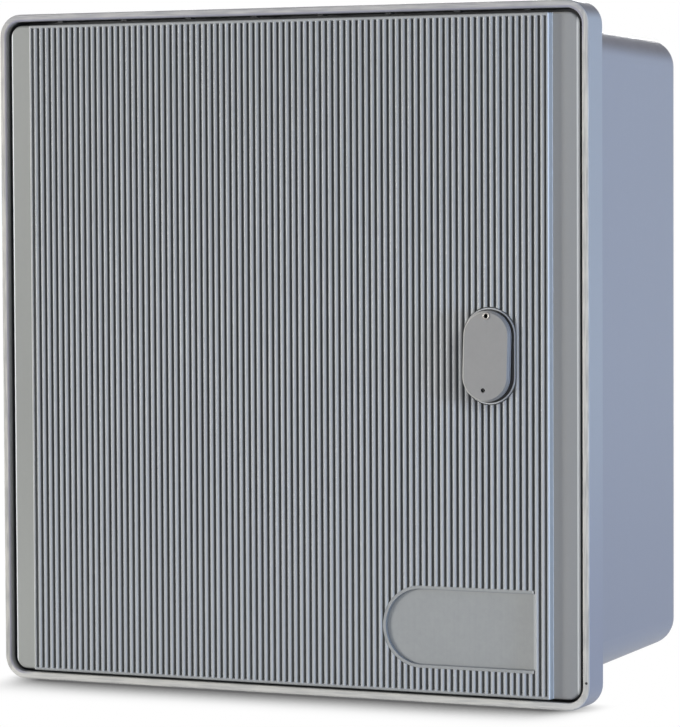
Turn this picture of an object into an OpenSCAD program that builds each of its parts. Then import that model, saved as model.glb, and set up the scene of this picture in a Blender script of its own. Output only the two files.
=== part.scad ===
// Meter cabinet for wall mounting: a moulded box with a stepped front collar, an inset door with
// moulded ribs, and a cam lock under a swinging cover. Drawn in wall coordinates (x right, y up,
// z out of the wall) and then stood up, so it faces -Y with the origin at the centre of its back.

/* [Cabinet] */
// Width over the collar
cabinet_w = 430; // [400:1:500]
// Height over the collar
cabinet_h = 455; // [420:1:540]
// Depth from the wall to the front of the rim
cabinet_d = 224; // [200:1:260]
// Thickness of the box's walls
wall = 4; // [3.5:0.1:4.5]
// Slope of the box's sides, in degrees
draft = 1.2; // [0.8:0.1:1.6]
// Corner radius of the body behind the collar
body_r = 23; // [21:0.5:28]
// Radius of the body's rear edges
back_r = 16.5; // [12:0.5:18]

/* [Collar] */
// Depth of the collar
collar_depth = 24; // [24:0.5:28]
// Outer corner radius of the collar
collar_r = 15.5; // [14:0.5:18]
// Width of the rim's front face
rim_w = 5; // [4.5:0.1:5.5]
// Step from the collar's side to the body's side
body_inset = 14; // [14:0.5:17]
// Radius of the rim's front edges
rim_edge_r = 1.2; // [0.6:0.1:1.6]
// Small spacers in the gap above the door
spacer_count = 8; // [4:1:10]

/* [Door] */
// Gap at the sides of the door
gap_side = 2.6; // [2.4:0.1:3]
// Gap above the door
gap_top = 2.6; // [2.2:0.1:3]
// Gap below the door
gap_bottom = 1.8; // [1.6:0.1:3]
// How far the smooth margins lie behind the rim
margin_recess = 2.2; // [1.8:0.1:2.6]
// Width of the smooth margins
margin_w = 18; // [17:0.5:24]
// Radius of the door's front edges
door_edge_r = 1.6; // [1.2:0.1:2]
// Thickness of the door at its margins
door_skin = 2.6; // [2.2:0.1:2.8]
// How far the floor between the ribs stands above the margins
slab_rise = 4.2; // [3.5:0.1:5]

/* [Ribs] */
// Distance from rib to rib
rib_pitch = 4.4; // [4:0.1:6]
// Width of a rib as a part of the pitch
rib_share = 0.65; // [0.5:0.05:0.75]
// Height of the ribs above the floor between them
rib_rise = 2.8; // [2:0.1:3.2]
// Width of the raised bars across the ends of the ribs
rib_bar = 1.6; // [1.2:0.1:3]

/* [Name plate] */
// Length of the bare plate
plate_len = 106; // [80:1:130]
// Height of the bare plate
plate_h = 53.6; // [40:0.2:64]
// Width of its raised border
plate_border = 2; // [1.5:0.1:3]
// Ribs between the plate and the block's end rib
plate_side_ribs = 2; // [1:1:5]
// Height of the plate's foot above the door's bottom edge
plate_foot = 16.6; // [10:0.2:30]

/* [Lock] */
// Distance from the ribbed block's right edge to the lock
lock_from_edge = 41; // [36:1:60]
// Width of the swinging cover
cover_w = 32.5; // [30:0.5:36]
// Length of the swinging cover
cover_len = 58.8; // [56:0.2:64]
// Thickness of the swinging cover
cover_t = 3.4; // [3:0.1:5]
// How far the cover hangs askew, in degrees
cover_tilt = 1.6; // [0:0.1:3]

/* [Hidden] */
$fn = 64;

// Colours
smc_grey = [0.60, 0.61, 0.61];
board_ivory = [0.84, 0.82, 0.75];
steel = [0.72, 0.73, 0.75];
brass = [0.78, 0.64, 0.36];
rubber_black = [0.10, 0.10, 0.11];

// Clearances
joint_gap = 0.3;
fit_gap = 0.05;
turn_gap = 0.08;
end_gap = 0.4;
sunk = 1;

// Box: heights above the wall, and distances inward from the collar's side
ledge_t = 4.2;
lip_t = 1.8;
edge_chamfer = 0.6;
collar_z = cabinet_d - collar_depth;
gutter_z = collar_z + ledge_t;
function wall_u(z) = body_inset + (collar_z - z) * tan(draft);
heel_u = wall_u(back_r);
corner_u = max(body_inset + body_r, heel_u + back_r + 2 * sunk);
back_u = corner_u - sunk;

// Hinge: the pin's axis from the door's left edge and from the margin's face
eye_r = 2.2;
pin_r = 1.2;
pin_in = 6;
pin_back = 4;
margin_z = cabinet_d - margin_recess;
pin_u = rim_w + gap_side + pin_in;
pin_x = pin_u - cabinet_w / 2;
pin_z = margin_z - pin_back;
lug_len = 14;
eye_len = 6;
bracket_len = 50;
bracket_t = 2;
bracket_margin = 0.6;
hinge_screw_at = 20;
hinge_screw_out = 2.4;
notch_len = bracket_len + 4;

// Door
door_w = cabinet_w - 2 * (rim_w + gap_side);
door_h = cabinet_h - 2 * rim_w - gap_top - gap_bottom;
door_y = (gap_bottom - gap_top) / 2;
door_r = collar_r - rim_w - gap_side;
skin_z = margin_z - door_skin;
skin_u = door_r - sunk;
lap_u = skin_u - sunk / 2;
flange_t = 2.4;
flange_drop = 2.8;
flange_z = pin_z - flange_drop;
block_w = door_w - 2 * margin_w;
block_inset = 0.4;
floor_z = margin_z + slab_rise;
rib_z = floor_z + rib_rise;
floor_t = 2.8;
pocket_z = floor_z - floor_t;
pocket_in = 13;
hinge_from_end = 70;
hinge_y = door_h / 2 - hinge_from_end;
stiffener_t = 2.4;
stiffener_rise = 6;
stiffener_y = hinge_y / 2;

// Seal: lip on the box, rib and gasket on the door
seal_depth = 9.4;
lip_z = skin_z - seal_depth;
lip_u = wall_u(lip_z) + wall - lip_t;
gasket_t = 3;
gasket_w = 2.6;
gasket_z = lip_z + joint_gap;
seal_rib_t = 1.6;
seal_u = lip_u + lip_t / 2;

// Ribs and name plate
rib_pairs = floor(block_w / 2 / rib_pitch);
rib_w = rib_pitch * rib_share;
rib_top_share = 0.56;
rib_top_r = rib_w * rib_top_share;
rib_slope = 1.2;
plate_right = (rib_pairs - 0.5 - plate_side_ribs) * rib_pitch;
plate_left = plate_right - plate_len;
plate_y = door_y - door_h / 2 + plate_foot + plate_h / 2;
border_rise = 2.4;

// Lock, from its front to its back
lock_x = block_w / 2 - lock_from_edge;
cover_r = cover_w / 2;
cover_chamfer = 1.3;
rivet_in = 3.4;
rivet_y = cover_len / 2 - rivet_in;
seal_hole_r = 1.45;
seal_hole_off = 1.2;
seal_hole_in = 7.4;
seal_hole_drop = cover_len - rivet_in - seal_hole_in;
base_rim = 1.7;
base_r = cover_r + base_rim;
base_len = cover_len + 2 * base_rim;
base_t = 3.3;
base_pocket_gap = 0.6;
base_z = floor_z + base_t;
base_lip = 0.9;
groove_w = 0.95;
groove_depth = 1.2;
cover_gap = 1.7;
cover_z = base_z + cover_gap;
rivet_r = 2;
rivet_bore_r = 1.2;
rivet_collar_r = 3.2;
rivet_head_r = 2.4;
rivet_head_t = 0.6;
head_r = 11;
head_t = 1.7;
head_z = base_z - head_t - joint_gap;
barrel_r = 9;
barrel_len = 27;
barrel_end_z = floor_z - barrel_len;
lock_pad_r = 18;
lock_pad_t = 2;
nut_r = 15;
nut_t = 5;
plug_r = 6;
plug_head_r = 8;
plug_head_t = 1.2;
plug_z = head_z + head_t - turn_gap;
key_r = 4.4;
key_depth = 9;
tang_r = 4;
cam_t = 2.5;
cam_z = barrel_end_z - turn_gap - cam_t;
cam_w = 15;
cam_len = 36;
cam_screw_r = 2;
cam_head_r = 5.6;
base_screw_y = 16;
base_screw_head_r = 3;
base_screw_head_t = 1.5;
base_screw_r = 1.5;

// Keeper on the box's right wall
keeper_t = 2;
keeper_h = 32;
keeper_reach = 15;
keeper_depth = 28;
keeper_gap = 0.8;
keeper_front_z = cam_z + cam_t + keeper_gap + keeper_t;
keeper_boss_rise = 5;
keeper_u = wall_u(keeper_front_z - keeper_depth) + wall + keeper_boss_rise;
keeper_x = cabinet_w / 2 - keeper_u;
keeper_boss_w = 40;
keeper_boss_depth = keeper_depth + 4;
keeper_screw_y = 9;
keeper_screw_back = 17;
keeper_screw_len = 8;

// Small screws share one head form
small_r = 1.6;
small_head_r = 3.2;
small_head_t = 1.8;
screw_edge_share = 0.6;
screw_crown_share = 0.7;

// Wall holes, meter board and cable entries
fix_in_x = 55;
fix_in_y = 57.5;
fix_x = cabinet_w / 2 - fix_in_x;
fix_y = cabinet_h / 2 - fix_in_y;
fix_r = 4;
fix_pad_r = 11;
fix_pad_t = 2;
board_in_x = 70;
board_in_y = 77.5;
board_w = cabinet_w - 2 * board_in_x;
board_h = cabinet_h - 2 * board_in_y;
board_t = 6;
board_r = 8;
boss_r = 8;
boss_z = 24;
boss_in = 16;
insert_r = 4;
insert_len = 14;
board_screw_r = 2;
board_head_r = 5;
board_head_t = 3;
meter_x = 60;
meter_y = 90;
meter_hole_r = 2.5;
entry_r = 16;
entry_x = 86;
entry_z = 94;
grommet_flange = 4;
grommet_lip = 2.5;
membrane_t = 1.6;

// Turns wall coordinates into the standing frame
module stand() rotate([90, 0, 0]) children();

// Sweeps a flat section around a rounded rectangle: its x runs inward, its y out of the wall
module sweep(w, h, r) {
    for (k = [0 : 3]) {
        run = k % 2 == 0 ? w : h;
        across = k % 2 == 0 ? h : w;
        rotate(90 * k) {
            translate([r - run / 2, -across / 2, 0])
                rotate([90, 0, 90])
                    linear_extrude(run - 2 * r) children();
            translate([run / 2 - r, r - across / 2, 0])
                rotate_extrude(angle = 90, start = 270)
                    translate([r, 0]) mirror([1, 0]) children();
        }
    }
}

// Flat rectangle with round corners
module rounded(w, h, r) {
    square([w - 2 * r, h], center = true);
    square([w, h - 2 * r], center = true);
    for (x = [-1, 1], y = [-1, 1])
        translate([x * (w / 2 - r), y * (h / 2 - r)]) circle(r);
}

// Flat upright slot shape with half-round ends
module slot(len, r) {
    square([2 * r, len - 2 * r], center = true);
    for (y = [-1, 1])
        translate([0, y * (len / 2 - r)]) circle(r);
}

// Pan-head screw along z, its head standing on z = 0
module screw(shank_r, shank_len, head_r, head_t) {
    rotate_extrude()
        polygon([[0, -shank_len], [shank_r, -shank_len], [shank_r, 0], [head_r, 0],
                 [head_r, head_t * screw_edge_share], [head_r * screw_crown_share, head_t], [0, head_t]]);
}

module at_fixings() for (x = [-1, 1], y = [-1, 1]) translate([x * fix_x, y * fix_y, 0]) children();

module at_bosses()
    for (x = [-1, 1], y = [-1, 1])
        translate([x * (board_w / 2 - boss_in), y * (board_h / 2 - boss_in), 0]) children();

module at_hinge_screws()
    for (y = [-1, 1], s = [-1, 1])
        translate([pin_x - hinge_screw_out, y * hinge_y + s * hinge_screw_at, gutter_z]) children();

// Places something on the keeper's boss, with z pointing into the box
module at_keeper_screws()
    for (y = [-1, 1])
        translate([keeper_x, y * keeper_screw_y, keeper_front_z - keeper_screw_back])
            rotate([0, -90, 0]) children();

// Places something in the middle of the bottom wall, with z pointing out of the box
module at_entry(side)
    translate([side * entry_x, wall_u(entry_z) + wall / 2 - cabinet_h / 2, entry_z])
        rotate([90 + draft, 0, 0]) children();

module at_lock() translate([lock_x, 0, 0]) children();

// Section of the body: lip, sloping wall, round heel and the start of the back
module body_section() {
    polygon([[wall_u(collar_z), collar_z], [heel_u, back_r], [heel_u + wall, back_r],
             [lip_u + lip_t, lip_z], [lip_u, lip_z], [lip_u, collar_z]]);
    translate([heel_u + back_r, back_r])
        intersection() {
            difference() {
                circle(back_r);
                circle(back_r - wall);
            }
            translate([-back_r, -back_r]) square(back_r);
        }
    translate([heel_u + back_r, 0]) square([back_u - heel_u - back_r, wall]);
}

// Flat middle of the back, lapping over the swept part
module back_plate() {
    lap_u = back_u - sunk / 2;
    translate([lap_u - cabinet_w / 2, lap_u - cabinet_h / 2, 0])
        cube([cabinet_w - 2 * lap_u, cabinet_h - 2 * lap_u, wall]);
}

// Section of the collar, with round front edges
module collar_section() {
    translate([0, collar_z]) square([rim_w, collar_depth - rim_edge_r]);
    translate([rim_edge_r, collar_z]) square([rim_w - 2 * rim_edge_r, collar_depth]);
    for (u = [rim_edge_r, rim_w - rim_edge_r])
        translate([u, cabinet_d - rim_edge_r]) circle(rim_edge_r);
}

module ledge_plate()
    translate([0, 0, collar_z])
        linear_extrude(ledge_t)
            difference() {
                rounded(cabinet_w - rim_w, cabinet_h - rim_w, collar_r - rim_w / 2);
                rounded(cabinet_w - 2 * seal_u, cabinet_h - 2 * seal_u, corner_u - seal_u);
            }

// Small spacers under the rim's top side
module spacers() {
    spacer_w = 4;
    spacer_rise = 0.8;
    spacer_len = 6;
    spacer_back = 6;
    spacer_pitch = door_w / (spacer_count + 0.5);
    for (i = [0 : spacer_count - 1])
        translate([(i - (spacer_count - 1) / 2) * spacer_pitch - spacer_w / 2,
                   cabinet_h / 2 - rim_w - spacer_rise, cabinet_d - spacer_back - spacer_len])
            cube([spacer_w, spacer_rise + sunk, spacer_len]);
}

module cabinet_box()
    color(smc_grey) stand()
        difference() {
            union() {
                sweep(cabinet_w, cabinet_h, corner_u) body_section();
                back_plate();
                ledge_plate();
                sweep(cabinet_w, cabinet_h, collar_r) collar_section();
                spacers();
                at_fixings() translate([0, 0, sunk]) cylinder(r = fix_pad_r, h = wall + fix_pad_t - sunk);
                at_bosses() translate([0, 0, sunk]) cylinder(r = boss_r, h = boss_z - sunk);
                translate([keeper_x, -keeper_boss_w / 2, keeper_front_z - keeper_boss_depth])
                    cube([keeper_u - wall_u(keeper_front_z) - wall / 2, keeper_boss_w,
                          keeper_boss_depth - keeper_t]);
            }
            at_fixings() translate([0, 0, -sunk]) cylinder(r = fix_r, h = wall + fix_pad_t + 2 * sunk);
            at_bosses() translate([0, 0, boss_z - insert_len])
                cylinder(r = insert_r, h = insert_len + sunk);
            at_hinge_screws() translate([0, 0, -ledge_t - sunk])
                cylinder(r = small_r + fit_gap, h = ledge_t + 2 * sunk);
            at_keeper_screws() translate([0, 0, -keeper_screw_len])
                cylinder(r = small_r + fit_gap, h = keeper_screw_len + sunk);
            for (side = [-1, 1])
                at_entry(side) cylinder(r = entry_r, h = 2 * wall, center = true);
        }

module meter_board()
    color(board_ivory) stand()
        translate([0, 0, boss_z])
            difference() {
                linear_extrude(board_t) rounded(board_w, board_h, board_r);
                at_bosses() translate([0, 0, -sunk])
                    cylinder(r = board_screw_r + turn_gap, h = board_t + 2 * sunk);
                for (x = [-1, 1], y = [-1, 1])
                    translate([x * meter_x, y * meter_y, -sunk])
                        cylinder(r = meter_hole_r, h = board_t + 2 * sunk);
            }

module board_inserts()
    color(brass) stand()
        at_bosses() translate([0, 0, boss_z - insert_len])
            difference() {
                cylinder(r = insert_r - fit_gap, h = insert_len);
                translate([0, 0, sunk]) cylinder(r = board_screw_r + fit_gap, h = insert_len);
            }

module board_screws()
    color(steel) stand()
        at_bosses() translate([0, 0, boss_z + board_t])
            screw(board_screw_r, board_t + insert_len - 2 * sunk, board_head_r, board_head_t);

module cable_grommet(side)
    color(rubber_black) stand()
        at_entry(side)
            rotate_extrude() {
                groove = wall / 2 + fit_gap;
                lip = wall / 2 + grommet_lip;
                edge_r = entry_r + grommet_flange;
                seat_r = entry_r - fit_gap;
                throat_r = entry_r - grommet_flange;
                polygon([[0, -membrane_t / 2], [throat_r - sunk, -membrane_t / 2], [throat_r, -lip],
                         [edge_r, -lip], [edge_r, -groove], [seat_r, -groove], [seat_r, groove],
                         [edge_r, groove], [edge_r, lip], [throat_r, lip],
                         [throat_r - sunk, membrane_t / 2], [0, membrane_t / 2]]);
            }

module cable_grommet_left() cable_grommet(-1);

module cable_grommet_right() cable_grommet(1);

// Bracket with two eyes around the pin, standing on the gutter's floor
module hinge_bracket(y) {
    plate_x = rim_w + bracket_margin - cabinet_w / 2;
    plate_w = lip_u - rim_w - 2 * bracket_margin;
    leg_out = 0.5;
    leg_w = 2.1;
    color(steel) stand()
        translate([0, y, 0])
            difference() {
                union() {
                    translate([plate_x, -bracket_len / 2, gutter_z])
                        cube([plate_w, bracket_len, bracket_t]);
                    for (s = [-1, 1])
                        translate([pin_x, s * (lug_len / 2 + end_gap + eye_len / 2), 0]) {
                            translate([0, 0, pin_z]) rotate([90, 0, 0])
                                cylinder(r = eye_r, h = eye_len, center = true);
                            translate([-leg_out, -eye_len / 2, gutter_z + sunk])
                                cube([leg_w, eye_len, pin_z - gutter_z - sunk]);
                        }
                }
                translate([pin_x, 0, pin_z]) rotate([90, 0, 0])
                    cylinder(r = pin_r + fit_gap, h = bracket_len, center = true);
                for (s = [-1, 1])
                    translate([pin_x - hinge_screw_out, s * hinge_screw_at, gutter_z - sunk])
                        cylinder(r = small_r + fit_gap, h = bracket_t + 2 * sunk);
            }
}

module upper_hinge_bracket() hinge_bracket(hinge_y);

module lower_hinge_bracket() hinge_bracket(-hinge_y);

// Hinge pin with a head above the upper eye
module hinge_pin(y) {
    half = lug_len / 2 + end_gap + eye_len;
    pin_head_r = 2.2;
    pin_head_t = 1;
    color(steel) stand()
        translate([pin_x, y, pin_z])
            rotate([-90, 0, 0])
                rotate_extrude()
                    polygon([[0, -half], [pin_r, -half], [pin_r, half], [pin_head_r, half],
                             [pin_head_r, half + pin_head_t], [0, half + pin_head_t]]);
}

module upper_hinge_pin() hinge_pin(hinge_y);

module lower_hinge_pin() hinge_pin(-hinge_y);

module hinge_screws()
    color(steel) stand()
        at_hinge_screws() translate([0, 0, bracket_t])
            screw(small_r, bracket_t + ledge_t - sunk, small_head_r, small_head_t);

// Angle behind which the cam turns
module lock_keeper()
    color(steel) stand()
        difference() {
            translate([keeper_x - keeper_t, -keeper_h / 2, keeper_front_z - keeper_depth])
                union() {
                    cube([keeper_t, keeper_h, keeper_depth]);
                    translate([keeper_t - keeper_reach, 0, keeper_depth - keeper_t])
                        cube([keeper_reach - keeper_t + sunk, keeper_h, keeper_t]);
                }
            at_keeper_screws() translate([0, 0, -sunk])
                cylinder(r = small_r + fit_gap, h = keeper_t + 2 * sunk);
        }

module keeper_screws()
    color(steel) stand()
        at_keeper_screws() translate([0, 0, keeper_t])
            screw(small_r, keeper_t + keeper_screw_len - sunk, small_head_r, small_head_t);

// Section of the door's edge: flange, round front edge and the start of the skin
module door_edge_section() {
    polygon([[0, flange_z], [flange_t, flange_z], [flange_t, skin_z], [skin_u, skin_z], [skin_u, margin_z],
             [door_edge_r, margin_z], [door_edge_r, margin_z - door_edge_r], [0, margin_z - door_edge_r]]);
    translate([door_edge_r, margin_z - door_edge_r]) circle(door_edge_r);
}

// Profile of all ribs, seen from below: x across the door, y out of the wall
module rib_profile() {
    for (i = [1 - rib_pairs : rib_pairs - 1])
        translate([i * rib_pitch, 0]) {
            translate([-rib_w / 2, floor_z - sunk]) square([rib_w, rib_rise + sunk - rib_top_r]);
            intersection() {
                translate([0, rib_z - rib_top_r]) circle(rib_top_r);
                translate([-rib_w / 2, rib_z - rib_top_r]) square([rib_w, rib_top_r]);
            }
        }
    end_rib = rib_pairs * rib_pitch - rib_w / 2;
    for (side = [0, 1])
        mirror([side, 0])
            polygon([[end_rib, floor_z - sunk], [block_w / 2, floor_z - sunk],
                     [block_w / 2, rib_z - edge_chamfer], [block_w / 2 - edge_chamfer, rib_z],
                     [end_rib, rib_z]]);
}

// Plate outline with a half-round left end, grown or shrunk by a distance
module plate_outline(grow) {
    r = plate_h / 2 + grow;
    round_x = plate_left + plate_h / 2;
    translate([round_x, plate_y]) circle(r);
    translate([round_x, plate_y - r]) square([plate_right - round_x, 2 * r]);
}

// Raised bars that close the valleys at both ends, their inner sides sloping up from the floor
module rib_bars() {
    end = door_h / 2 - block_inset;
    inner = end - rib_bar;
    for (side = [0, 1])
        translate([0, door_y, 0]) mirror([0, side, 0]) translate([edge_chamfer - block_w / 2, 0, 0])
            rotate([90, 0, 90])
                linear_extrude(block_w - 2 * edge_chamfer)
                    polygon([[end, floor_z - sunk], [end, rib_z - edge_chamfer], [end - edge_chamfer, rib_z],
                             [inner, rib_z], [inner - rib_slope, floor_z],
                             [inner - rib_slope, floor_z - sunk]]);
}

module ribs() {
    rib_len = door_h - 2 * (block_inset + edge_chamfer);
    difference() {
        translate([0, door_y + rib_len / 2, 0])
            rotate([90, 0, 0]) linear_extrude(rib_len) rib_profile();
        translate([0, 0, floor_z - 2 * sunk]) linear_extrude(rib_rise + 3 * sunk) plate_outline(0);
        at_lock() translate([0, 0, floor_z - 2 * sunk])
            linear_extrude(rib_rise + 3 * sunk)
                slot(base_len + 2 * base_pocket_gap, base_r + base_pocket_gap);
    }
}

module plate_rim()
    translate([0, 0, floor_z - sunk])
        linear_extrude(border_rise + sunk)
            difference() {
                plate_outline(0);
                plate_outline(-plate_border);
            }

// Lugs that turn on the hinge pins
module hinge_lugs() {
    web_w = 4;
    for (y = [-1, 1])
        translate([pin_x, y * hinge_y, pin_z]) {
            rotate([90, 0, 0]) cylinder(r = eye_r, h = lug_len, center = true);
            translate([-web_w / 2, -lug_len / 2, 0]) cube([web_w, lug_len, pin_back - door_skin / 2]);
        }
}

module door_panel()
    color(smc_grey) stand()
        difference() {
            union() {
                difference() {
                    union() {
                        translate([0, door_y, 0]) sweep(door_w, door_h, door_r) door_edge_section();
                        translate([lap_u - door_w / 2, door_y + lap_u - door_h / 2, skin_z])
                            cube([door_w - 2 * lap_u, door_h - 2 * lap_u, door_skin]);
                        translate([-block_w / 2, door_y - door_h / 2 + block_inset, margin_z - sunk])
                            cube([block_w, door_h - 2 * block_inset, slab_rise + sunk]);
                    }
                    translate([floor_t - block_w / 2, door_y + pocket_in - door_h / 2, skin_z - sunk])
                        cube([block_w - 2 * floor_t, door_h - 2 * pocket_in, pocket_z - skin_z + sunk]);
                    for (y = [-1, 1]) {
                        translate([-door_w / 2 - sunk, y * hinge_y - notch_len / 2, flange_z - sunk])
                            cube([flange_t + 2 * sunk, notch_len, skin_z - flange_z + sunk]);
                        translate([pin_x, y * hinge_y, pin_z]) rotate([90, 0, 0])
                            cylinder(r = eye_r + joint_gap, h = notch_len, center = true);
                    }
                }
                sweep(cabinet_w, cabinet_h, corner_u)
                    translate([seal_u - seal_rib_t / 2, gasket_z + gasket_t])
                        square([seal_rib_t, skin_z + sunk - gasket_z - gasket_t]);
                ribs();
                rib_bars();
                plate_rim();
                hinge_lugs();
                for (y = [-1, 1])
                    translate([sunk - block_w / 2, y * stiffener_y - stiffener_t / 2,
                               pocket_z - stiffener_rise])
                        cube([block_w - 2 * sunk, stiffener_t, stiffener_rise + sunk]);
                at_lock() translate([0, 0, pocket_z - lock_pad_t])
                    cylinder(r = lock_pad_r, h = lock_pad_t + sunk);
            }
            for (y = [-1, 1])
                translate([pin_x, y * hinge_y, pin_z]) rotate([90, 0, 0])
                    cylinder(r = pin_r + turn_gap, h = lug_len + 2 * sunk, center = true);
            at_lock() translate([0, 0, pocket_z - lock_pad_t - sunk])
                cylinder(r = barrel_r + turn_gap, h = floor_t + lock_pad_t + 2 * sunk);
            for (y = [-1, 1])
                at_lock() translate([0, y * base_screw_y, pocket_z - lock_pad_t - sunk])
                    cylinder(r = base_screw_r + fit_gap, h = floor_t + lock_pad_t + 2 * sunk);
        }

module door_gasket()
    color(rubber_black) stand()
        sweep(cabinet_w, cabinet_h, corner_u)
            translate([seal_u - gasket_w / 2, gasket_z]) square([gasket_w, gasket_t]);

// Base of the lock, with a groove inside its lip
module lock_escutcheon()
    color(smc_grey) stand()
        at_lock() difference() {
            translate([0, 0, floor_z]) linear_extrude(base_t) slot(base_len, base_r);
            translate([0, 0, base_z - groove_depth]) linear_extrude(base_t) difference() {
                slot(base_len - 2 * base_lip, base_r - base_lip);
                slot(base_len - 2 * (base_lip + groove_w), base_r - base_lip - groove_w);
            }
            translate([0, 0, floor_z - sunk]) cylinder(r = barrel_r + turn_gap, h = base_t + 2 * sunk);
            translate([0, 0, head_z]) cylinder(r = head_r + turn_gap, h = base_t);
            translate([0, rivet_y, floor_z - sunk]) {
                cylinder(r = rivet_r + fit_gap, h = base_t + 2 * sunk);
                rotate(-cover_tilt) translate([-seal_hole_off, -seal_hole_drop, 0])
                    cylinder(r = seal_hole_r, h = base_t + 2 * sunk);
            }
            for (y = [-1, 1])
                translate([0, y * base_screw_y, 0]) {
                    translate([0, 0, floor_z - sunk])
                        cylinder(r = base_screw_r + fit_gap, h = base_t + 2 * sunk);
                    translate([0, 0, base_z - base_screw_head_t - turn_gap])
                        cylinder(r = base_screw_head_r + turn_gap, h = base_t);
                }
        }

module escutcheon_screws()
    color(steel) stand()
        for (y = [-1, 1])
            at_lock() translate([0, y * base_screw_y, base_z - base_screw_head_t - turn_gap])
                screw(base_screw_r, base_t + floor_t - base_screw_head_t,
                      base_screw_head_r, base_screw_head_t);

// Hollow rivet: shank, collar on the escutcheon and head over the cover
module cover_rivet() {
    collar_top = cover_z - joint_gap / 2;
    foot = floor_z + rivet_head_t;
    head_from = cover_z + cover_t + joint_gap / 2;
    head_top = head_from + rivet_head_t;
    color(steel) stand()
        at_lock() translate([0, rivet_y, 0])
            rotate_extrude()
                polygon([[rivet_bore_r, foot], [rivet_r, foot], [rivet_r, base_z], [rivet_collar_r, base_z],
                         [rivet_collar_r, collar_top], [rivet_r, collar_top], [rivet_r, head_from],
                         [rivet_head_r, head_from], [rivet_head_r - rivet_head_t / 2, head_top],
                         [rivet_bore_r, head_top]]);
}

module lock_barrel()
    color(steel) stand()
        at_lock() difference() {
            union() {
                translate([0, 0, barrel_end_z]) cylinder(r = barrel_r, h = head_z - barrel_end_z + sunk);
                translate([0, 0, head_z]) cylinder(r = head_r, h = head_t);
            }
            translate([0, 0, barrel_end_z - sunk])
                cylinder(r = plug_r + turn_gap, h = base_z - barrel_end_z + sunk);
            translate([0, 0, plug_z - plug_head_t - turn_gap])
                cylinder(r = plug_head_r + turn_gap, h = base_t);
        }

module lock_nut()
    color(steel) stand()
        at_lock() translate([0, 0, pocket_z - lock_pad_t - nut_t]) difference() {
            cylinder(r = nut_r, h = nut_t, $fn = 6);
            translate([0, 0, -sunk]) cylinder(r = barrel_r + fit_gap, h = nut_t + 2 * sunk);
        }

// Swinging cover: half-round ends and a straight middle, with a chamfered front edge
module lock_cover() {
    half = cover_len / 2 - cover_r;
    side = [[cover_r, 0], [cover_r, cover_t - cover_chamfer], [cover_r - cover_chamfer, cover_t]];
    color(smc_grey) stand()
        at_lock() translate([0, rivet_y, cover_z]) rotate(-cover_tilt)
            difference() {
                translate([0, -rivet_y, 0]) {
                    translate([0, half, 0]) rotate([90, 0, 0]) linear_extrude(2 * half)
                        polygon(concat(side, [for (i = [2 : -1 : 0]) [-side[i][0], side[i][1]]]));
                    for (k = [0, 1])
                        rotate(180 * k) translate([0, half, 0])
                            rotate_extrude(angle = 180) polygon(concat([[0, 0]], side, [[0, cover_t]]));
                }
                translate([0, 0, -sunk]) cylinder(r = rivet_r + turn_gap, h = cover_t + 2 * sunk);
                translate([-seal_hole_off, -seal_hole_drop, -sunk])
                    cylinder(r = seal_hole_r, h = cover_t + 2 * sunk);
            }
}

// Turning plug with a three-sided key hole in front and a tang for the cam behind
module lock_plug()
    color(brass) stand()
        at_lock() difference() {
            union() {
                translate([0, 0, plug_z - plug_head_t]) cylinder(r = plug_head_r, h = plug_head_t);
                translate([0, 0, cam_z + cam_t])
                    cylinder(r = plug_r, h = plug_z - cam_z - cam_t - plug_head_t + sunk / 2);
                translate([0, 0, cam_z]) cylinder(r = tang_r, h = cam_t + sunk);
            }
            translate([0, 0, plug_z - key_depth]) cylinder(r = key_r, h = key_depth + sunk, $fn = 3);
            translate([0, 0, cam_z - sunk]) cylinder(r = cam_screw_r + fit_gap, h = 3 * cam_t + sunk);
        }

// Cam hanging down while unlocked
module lock_cam()
    color(steel) stand()
        at_lock() translate([0, 0, cam_z]) difference() {
            union() {
                cylinder(r = cam_w / 2 + sunk / 2, h = cam_t);
                translate([-cam_w / 2, -cam_len, 0]) cube([cam_w, cam_len, cam_t]);
            }
            translate([0, 0, -sunk]) cylinder(r = tang_r + fit_gap, h = cam_t + 2 * sunk);
        }

module cam_screw()
    color(steel) stand()
        at_lock() translate([0, 0, cam_z]) rotate([180, 0, 0])
            screw(cam_screw_r, 2 * cam_t, cam_head_r, cam_t);

cabinet_box();
meter_board();
board_inserts();
board_screws();
cable_grommet_left();
cable_grommet_right();
upper_hinge_bracket();
lower_hinge_bracket();
upper_hinge_pin();
lower_hinge_pin();
hinge_screws();
lock_keeper();
keeper_screws();
door_panel();
door_gasket();
lock_escutcheon();
escutcheon_screws();
cover_rivet();
lock_barrel();
lock_nut();
lock_cover();
lock_plug();
lock_cam();
cam_screw();
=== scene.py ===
# %% [markdown]
# A meter cabinet, dressed over its own construction model.
# The real thing is a wall box pressed from a glass-filled grey moulding compound: a deep box with
# a stepped collar, and an inset door with close vertical ribs, a bare name plate and a small cam
# lock under a swinging cover. The construction model already holds every solid in metres, so this
# lesson adds the finishes, and rebuilds the small pieces that deserve softer edges.

# %% Load the frame
import math
from collections import namedtuple

import bmesh
import bpy
from mathutils import Matrix, Vector


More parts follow.
